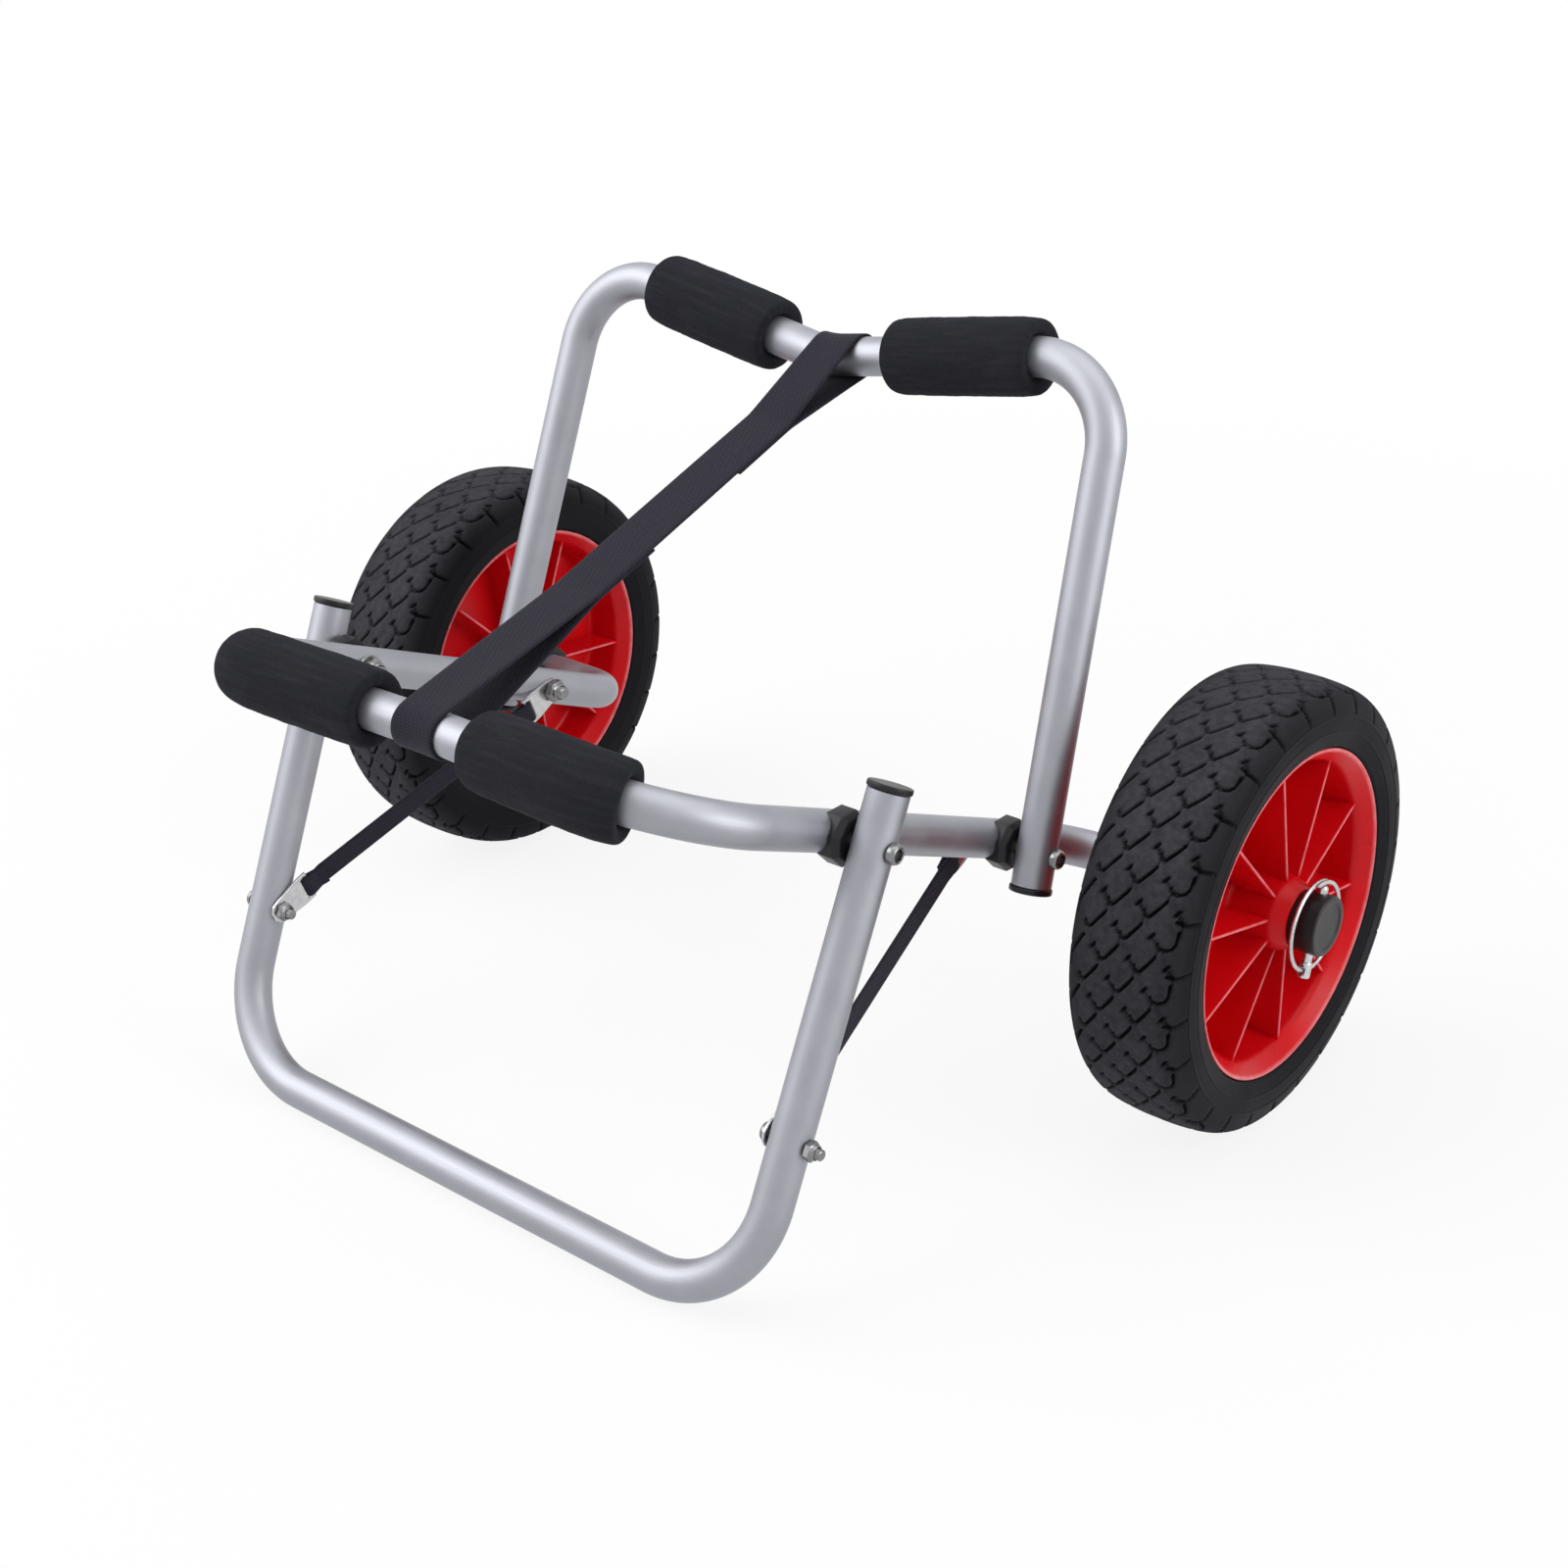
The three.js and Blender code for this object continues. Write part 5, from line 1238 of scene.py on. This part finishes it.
class CART_OT_axle_fittings(bpy.types.Operator):
    """Build the collars, end caps, cross pins and wire rings"""

    bl_idname = "cart.axle_fittings"
    bl_label = "Axle fittings"

    def execute(self, context):
        fittings = context.scene.cart_fittings
        black, steel = finish_for(context, "black_plastic"), finish_for(context, "zinc_steel")
        bore, collar, cap, steps = 0.0116, fittings.collar_diameter / 2, fittings.cap_diameter / 2, 72
        pin_way = Vector((0, math.sin(PIN_LEAN), math.cos(PIN_LEAN)))
        for label, side in SIDES:
            place = facing(AXLE, X_AXIS * side)
            start, end = span(f"axle_collar_{label}")
            outline = [(end, bore), (end, collar, 0.001), (start, collar, 0.001), (start, bore)]
            rows = rounded([*outline, (end, bore)], 0.0006)
            piece = turned_piece(f"collar_ring_{label}", rows, steps, place, black)
            dress(piece, "cradle", f"axle_collar_{label}")
            start, end = span(f"axle_cap_{label}")
            floor = end - 0.0042
            outline = [
                (floor, 0.0), (floor, bore), (start, bore), (start, cap, 0.0006), (end, cap, 0.0012),
                (end, 0.0136, 0.0006), (end - 0.0006, 0.0130, 0.0006), (end - 0.0004, 0.0),
            ]
            rows = rounded(outline, 0.0006)
            piece = turned_piece(f"end_cap_{label}", rows, steps, place, black)
            dress(piece, "cradle", f"axle_cap_{label}")
            low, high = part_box(f"lock_pin_{label}")
            middle = Vector(((low.x + high.x) / 2, AXLE.y, AXLE.z))
            self.pin(f"cross_pin_{label}", steel, middle, pin_way, label)
            hung_at = middle - pin_way * RING_TO_AXLE
            self.ring(f"wire_ring_{label}", steel, hung_at, label, fittings)
        return {"FINISHED"}

    def pin(self, name, steel, middle, way, label):
        """A headed pin with a rounded tip and a hole through its head for the wire ring"""
        head, shank, tip = 0.0037, 0.0029, 0.0018
        outline = [
            (PIN_HEAD_END, 0.0), (PIN_HEAD_END, head, 0.0009), (PIN_HEAD_FACE, head, 0.0009),
            (PIN_HEAD_FACE, shank, 0.0003), (PIN_TIP - 0.0013, shank, 0.001), (PIN_TIP, tip, 0.0012),
            (PIN_TIP, 0.0),
        ]
        piece = turned_piece(name, rounded(outline, 0.0005), 48, facing(middle, way), steel)
        hole, half_long = 0.00203, 0.007
        outline = [(-half_long, 0.0), (-half_long, hole), (half_long, hole), (half_long, 0.0)]
        across = facing(middle - way * PIN_EYE, X_AXIS.cross(way))
        drill = turned_piece("pin_drill", outline, 32, across, steel)
        cut = piece.modifiers.new("hole", "BOOLEAN")
        cut.operation, cut.object, cut.solver = "DIFFERENCE", drill, "EXACT"
        bpy.context.view_layer.update()
        drilled = piece.evaluated_get(bpy.context.evaluated_depsgraph_get())
        holed = bpy.data.meshes.new_from_object(drilled)
        piece.modifiers.clear()
        piece.data = holed
        bpy.data.objects.remove(drill)
        dress(piece, "cradle", f"lock_pin_{label}")

    def ring(self, name, steel, middle, label, fittings):
        """A wire ring whose ends lie side by side past the pin's tip"""
        blunt, wire_radius = 0.015, fittings.wire_diameter / 2
        around = np.radians(np.linspace(RING_STARTS, RING_STARTS + RING_SWEEP, WIRE_STATIONS))
        wire = np.arange(WIRE_SIDES) * FULL_TURN / WIRE_SIDES
        share = np.linspace(-1, 1, WIRE_STATIONS)
        taper = np.sqrt(np.clip(1 - (np.abs(share) - (1 - blunt)) / blunt, 0, 1))
        thick = (wire_radius * taper)[:, None]
        radius = fittings.ring_diameter / 2 + thick * np.cos(wire)
        points = np.zeros((WIRE_STATIONS, WIRE_SIDES, 3))
        points[:, :, 0] = middle.x + (wire_radius * share)[:, None] + thick * np.sin(wire)
        points[:, :, 1] = middle.y + radius * np.cos(around)[:, None]
        points[:, :, 2] = middle.z + radius * np.sin(around)[:, None]
        piece = Shape().grid(points, close_columns=True).piece(name, steel)
        dress(piece, f"ring_{label}", f"lock_ring_{label}")


# Pivots and strap fixings

# Widths, heights and depths of the bolts and nuts. A nut's width is across its flats.
PIVOT_BOLT = {"diameter": 0.008, "head": 0.0112, "high": 0.0046, "socket": 0.0064, "deep": 0.0030}
STRAP_BOLT = {"diameter": 0.006, "head": 0.011, "high": 0.0034, "socket": 0.004, "deep": 0.002}
PIVOT_NUT = {"bore": 0.0042, "wide": 0.013, "high": 0.008}
STRAP_NUT = {"bore": 0.0032, "wide": 0.010, "high": 0.006}
THREAD_PITCH = 0.0011
THREAD_TURNS = 7


def bolt_rows(long, diameter, head, high, socket, deep):
    """Rows of a round-headed bolt, its head's flat side at 0, crown towards +X and shank towards -X"""
    radius, crown, root = diameter / 2, head / 2, 0.88
    rows = [(-long, 0.0), (-long, radius * 0.82), (-long + 0.0005, radius)]
    for k in range(THREAD_TURNS):
        at = -long + 0.0008 + k * THREAD_PITCH
        rows.append((at, radius))
        rows.append((at + THREAD_PITCH * 0.45, radius * root))
        rows.append((at + THREAD_PITCH * 0.9, radius))
    rows += [(0.0, radius), (0.0, crown * 0.96), (high * 0.06, crown)]
    for a in np.linspace(0.0, math.pi / 2, 9):
        rows.append((high * (0.3 + 0.7 * math.sin(a)), crown * (0.68 + 0.32 * math.cos(a))))
    rows += [
        (high, socket / 2 * 1.24),
        (high - 0.0003, 0.0, socket * 1.02),
        (high - deep, 0.0, socket),
        (high - deep - 0.0003, 0.0),
    ]
    return rows


def nut_rows(bore, wide, high):
    """Rows of a locking nut, its seat at 0 and its round collar towards -X"""
    flat, body = wide / 2, high * 2 / 3
    return [
        (0.0, bore), (0.0, flat * 0.93), (-0.0006, 0.0, wide), (-body + 0.0005, 0.0, wide),
        (-body, flat * 0.93), (-body - 0.0001, flat * 0.88), (-high + 0.0008, flat * 0.84),
        (-high, flat * 0.72), (-high, bore * 1.1), (-high + 0.0005, bore), (0.0, bore),
    ]


def fastener(name, rows, x, pivot, way, finish, body, node):
    """A bolt or nut with its flat side across the pivot's line at x"""
    place = facing(Vector((x, pivot.y, pivot.z)), way)
    piece = turned_piece(name, rows, 60, place, finish, crease=30)
    dress(piece, body, node)


class CART_OT_pivots(bpy.types.Operator):
    """Build the four pivots: bolts, nuts, washers and saddle blocks"""

    bl_idname = "cart.pivots"
    bl_label = "Pivots"

    def execute(self, context):
        layout = Layout(context.scene)
        black, steel = finish_for(context, "black_plastic"), finish_for(context, "dull_steel")
        for which, pivot in (("rear", layout.rear_pivot), ("stand", layout.stand_pivot)):
            for label, side in SIDES:
                way = X_AXIS * side
                node = f"{which}_pivot_bolt_{label}"
                tail, tip = span(node)
                head = tip - PIVOT_BOLT["high"]
                rows = bolt_rows(head - tail, **PIVOT_BOLT)
                fastener(f"{which}_bolt_{label}", rows, side * head, pivot, way, steel, "cradle", node)
                node = f"{which}_pivot_nut_{label}"
                rows, seat = nut_rows(**PIVOT_NUT), span(node)[1]
                fastener(f"{which}_nut_{label}", rows, side * seat, pivot, way, steel, "cradle", node)
                node = f"{which}_pivot_spacer_{label}"
                piece = eased_copy(f"{which}_saddle_{label}", node, black, 0.0016, 0.82)
                dress(piece, "cradle", node)
        for label, side in SIDES:
            node = f"stand_pivot_washer_{label}"
            self.washer(f"stand_washer_{label}", node, layout.stand_pivot, side, steel)
        return {"FINISHED"}

    def washer(self, name, node, pivot, side, steel):
        hole, rim = 0.0044, 0.0085
        start, end = span(node)
        outline = [(start, hole), (start, rim, 0.0004), (end, rim, 0.0004), (end, hole), (start, hole)]
        place = facing(Vector((0, pivot.y, pivot.z)), X_AXIS * side)
        piece = turned_piece(name, rounded(outline, 0.0003), 60, place, steel)
        dress(piece, "cradle", node)


class CART_OT_strap_fixings(bpy.types.Operator):
    """Build the strap plates with their bolts and nuts"""

    bl_idname = "cart.strap_fixings"
    bl_label = "Strap fixings"

    def execute(self, context):
        bolt_at = Layout(context.scene).strap_bolt()
        steel, dull = finish_for(context, "zinc_steel"), finish_for(context, "dull_steel")
        for label, _ in SIDES:
            for which, body in (("top", "cradle"), ("low", "stand")):
                node = f"strap_{which}_bracket_{label}"
                piece = eased_copy(f"strap_plate_{which}_{label}", node, steel, 0.00035)
                dress(piece, body, node)
            node = f"strap_bolt_{label}"
            low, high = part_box(node)
            head = low.x + STRAP_BOLT["high"]
            rows = bolt_rows(high.x - head, **STRAP_BOLT)
            fastener(f"leg_bolt_{label}", rows, head, bolt_at, -X_AXIS, dull, "stand", node)
            node = f"strap_nut_{label}"
            rows, seat = nut_rows(**STRAP_NUT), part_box(node)[0].x
            fastener(f"leg_nut_{label}", rows, seat, bolt_at, -X_AXIS, dull, "stand", node)
        return {"FINISHED"}


# Stage

# The camera's target, and each lamp's place, target, width, height and power
LOOKED_AT = Vector((-0.02338, AXLE.y - 0.01962, 0.11656))
LAMPS = (
    ("key_lamp", (-1.7, -1.3, 1.9), (0, 0, 0.15), 2.8, 2.6, 66),
    ("side_lamp", (2.4, 0.5, 1.1), (0, 0, 0.15), 1.5, 1.9, 33),
    ("top_lamp", (0.3, 0.5, 2.5), (0, 0, 0.1), 2.6, 2.4, 24),
)


def lamp(name, at, aimed_at, wide, high, power):
    data = bpy.data.lights.new(name, "AREA")
    data.shape, data.size, data.size_y, data.energy = "RECTANGLE", wide, high, power
    light = bpy.data.objects.new(name, data)
    light.location = at
    light.rotation_euler = (Vector(aimed_at) - Vector(at)).to_track_quat("-Z", "Y").to_euler()
    bpy.context.scene.collection.objects.link(light)


def seen_directly(tree):
    """A value of 1 for rays from the camera, from gloss and through glass"""
    path = tree.nodes.new("ShaderNodeLightPath")
    value = path.outputs["Is Camera Ray"]
    for name in ("Is Glossy Ray", "Is Transmission Ray"):
        most = tree.nodes.new("ShaderNodeMath")
        most.operation = "MAXIMUM"
        tree.links.new(value, most.inputs[0])
        tree.links.new(path.outputs[name], most.inputs[1])
        value = most.outputs["Value"]
    return value


class CART_OT_stage(bpy.types.Operator):
    """Set up the floor, lamps, world and camera"""

    bl_idname = "cart.stage"
    bl_label = "Stage"

    def execute(self, context):
        stage = context.scene.cart_stage
        self.floor(stage)
        self.world(context.scene)
        for name, at, aimed_at, wide, high, power in LAMPS:
            lamp(name, at, aimed_at, wide, high, power)
        self.camera(context.scene, stage)
        context.scene.view_settings.view_transform = "Standard"
        return {"FINISHED"}

    def floor(self, stage):
        half, lines = 14, 15
        places = np.linspace(-half, half, lines)
        points = np.stack([*np.meshgrid(places, places), np.zeros((lines, lines))], axis=-1)
        finish = self.floor_finish(stage)
        floor = Shape().grid(points).piece("studio_floor", finish, weld=False, crease=None)

    def floor_finish(self, stage):
        """Pale floor that shows white, with less of its own shade the further it lies from the cart"""
        f = Finish("studio_floor", tuple(stage.floor), 0.9, specular=0.0)
        glow = f.add("ShaderNodeEmission")
        glow.inputs["Color"].default_value = (1, 1, 1, 1)
        white = f.remap(f.reach(f.body_map()), 0.45, 1.3, 0.86, 1.0)
        mix = f.add("ShaderNodeMixShader")
        f.join(f.math("MULTIPLY", seen_directly(f.tree), white), mix.inputs["Fac"])
        f.join(f.shader.outputs["BSDF"], mix.inputs[1])
        f.join(glow.outputs["Emission"], mix.inputs[2])
        output = [n for n in f.tree.nodes if n.type == "OUTPUT_MATERIAL"][0]
        f.join(mix.outputs["Shader"], output.inputs["Surface"])
        return f.material

    def world(self, scene):
        world = bpy.data.worlds.new("studio_world")
        world.use_nodes = True
        scene.world = world
        tree = world.node_tree
        background = tree.nodes["Background"]
        background.inputs["Color"].default_value = (1, 1, 1, 1)
        strength = tree.nodes.new("ShaderNodeMapRange")
        strength.inputs["To Min"].default_value = 0.22
        strength.inputs["To Max"].default_value = 1.0
        tree.links.new(seen_directly(tree), strength.inputs["Value"])
        tree.links.new(strength.outputs["Result"], background.inputs["Strength"])

    def camera(self, scene, stage):
        back = Vector((
            math.sin(stage.azimuth) * math.cos(stage.elevation),
            -math.cos(stage.azimuth) * math.cos(stage.elevation),
            math.sin(stage.elevation),
        ))
        right = Vector((0, 0, 1)).cross(back).normalized()
        up = back.cross(right)
        turned_right = right * math.cos(stage.roll) + up * math.sin(stage.roll)
        turned_up = up * math.cos(stage.roll) - right * math.sin(stage.roll)
        data = bpy.data.cameras.new("studio_camera")
        data.lens, data.sensor_width, data.clip_start, data.clip_end = stage.lens, 36.0, 0.05, 60.0
        camera = bpy.data.objects.new("studio_camera", data)
        place = Matrix((turned_right, turned_up, back)).transposed().to_4x4()
        place.translation = LOOKED_AT + back * stage.distance
        camera.matrix_world = place
        scene.collection.objects.link(camera)
        scene.camera = camera


class CART_PT_sidebar(bpy.types.Panel):
    """Steps that build the cart, in order"""

    bl_label = "Kayak Cart"
    bl_idname = "CART_PT_sidebar"
    bl_space_type = "VIEW_3D"
    bl_region_type = "UI"
    bl_category = "Kayak Cart"

    def draw(self, context):
        for operator in OPERATORS:
            self.layout.operator(operator.bl_idname)
        for name in SETTINGS:
            box = self.layout.box()
            group = getattr(context.scene, name)
            for key in group.bl_rna.properties.keys():
                if key not in ("rna_type", "name"):
                    box.prop(group, key)


OPERATORS = (
    CART_OT_stage,
    CART_OT_tubes,
    CART_OT_leg_caps,
    CART_OT_grips,
    CART_OT_pivots,
    CART_OT_strap_fixings,
    CART_OT_hull_strap,
    CART_OT_stand_straps,
    CART_OT_tyres,
    CART_OT_rims,
    CART_OT_axle_fittings,
)
SETTINGS = {
    "cart_tubes": CartTubes,
    "cart_grips": CartGrips,
    "cart_straps": CartStraps,
    "cart_tyres": CartTyres,
    "cart_rims": CartRims,
    "cart_fittings": CartFittings,
    "cart_stage": CartStage,
}


def register():
    for group in SETTINGS.values():
        bpy.utils.register_class(group)
    for name, group in SETTINGS.items():
        setattr(bpy.types.Scene, name, PointerProperty(type=group))
    for operator in OPERATORS:
        bpy.utils.register_class(operator)
    bpy.utils.register_class(CART_PT_sidebar)


def unregister():
    bpy.utils.unregister_class(CART_PT_sidebar)
    for operator in reversed(OPERATORS):
        bpy.utils.unregister_class(operator)
    for name, group in SETTINGS.items():
        delattr(bpy.types.Scene, name)
        bpy.utils.unregister_class(group)


def main():
    register()
    for operator in OPERATORS:
        area, step = operator.bl_idname.split(".")
        getattr(getattr(bpy.ops, area), step)()


if __name__ == "__main__":
    main()
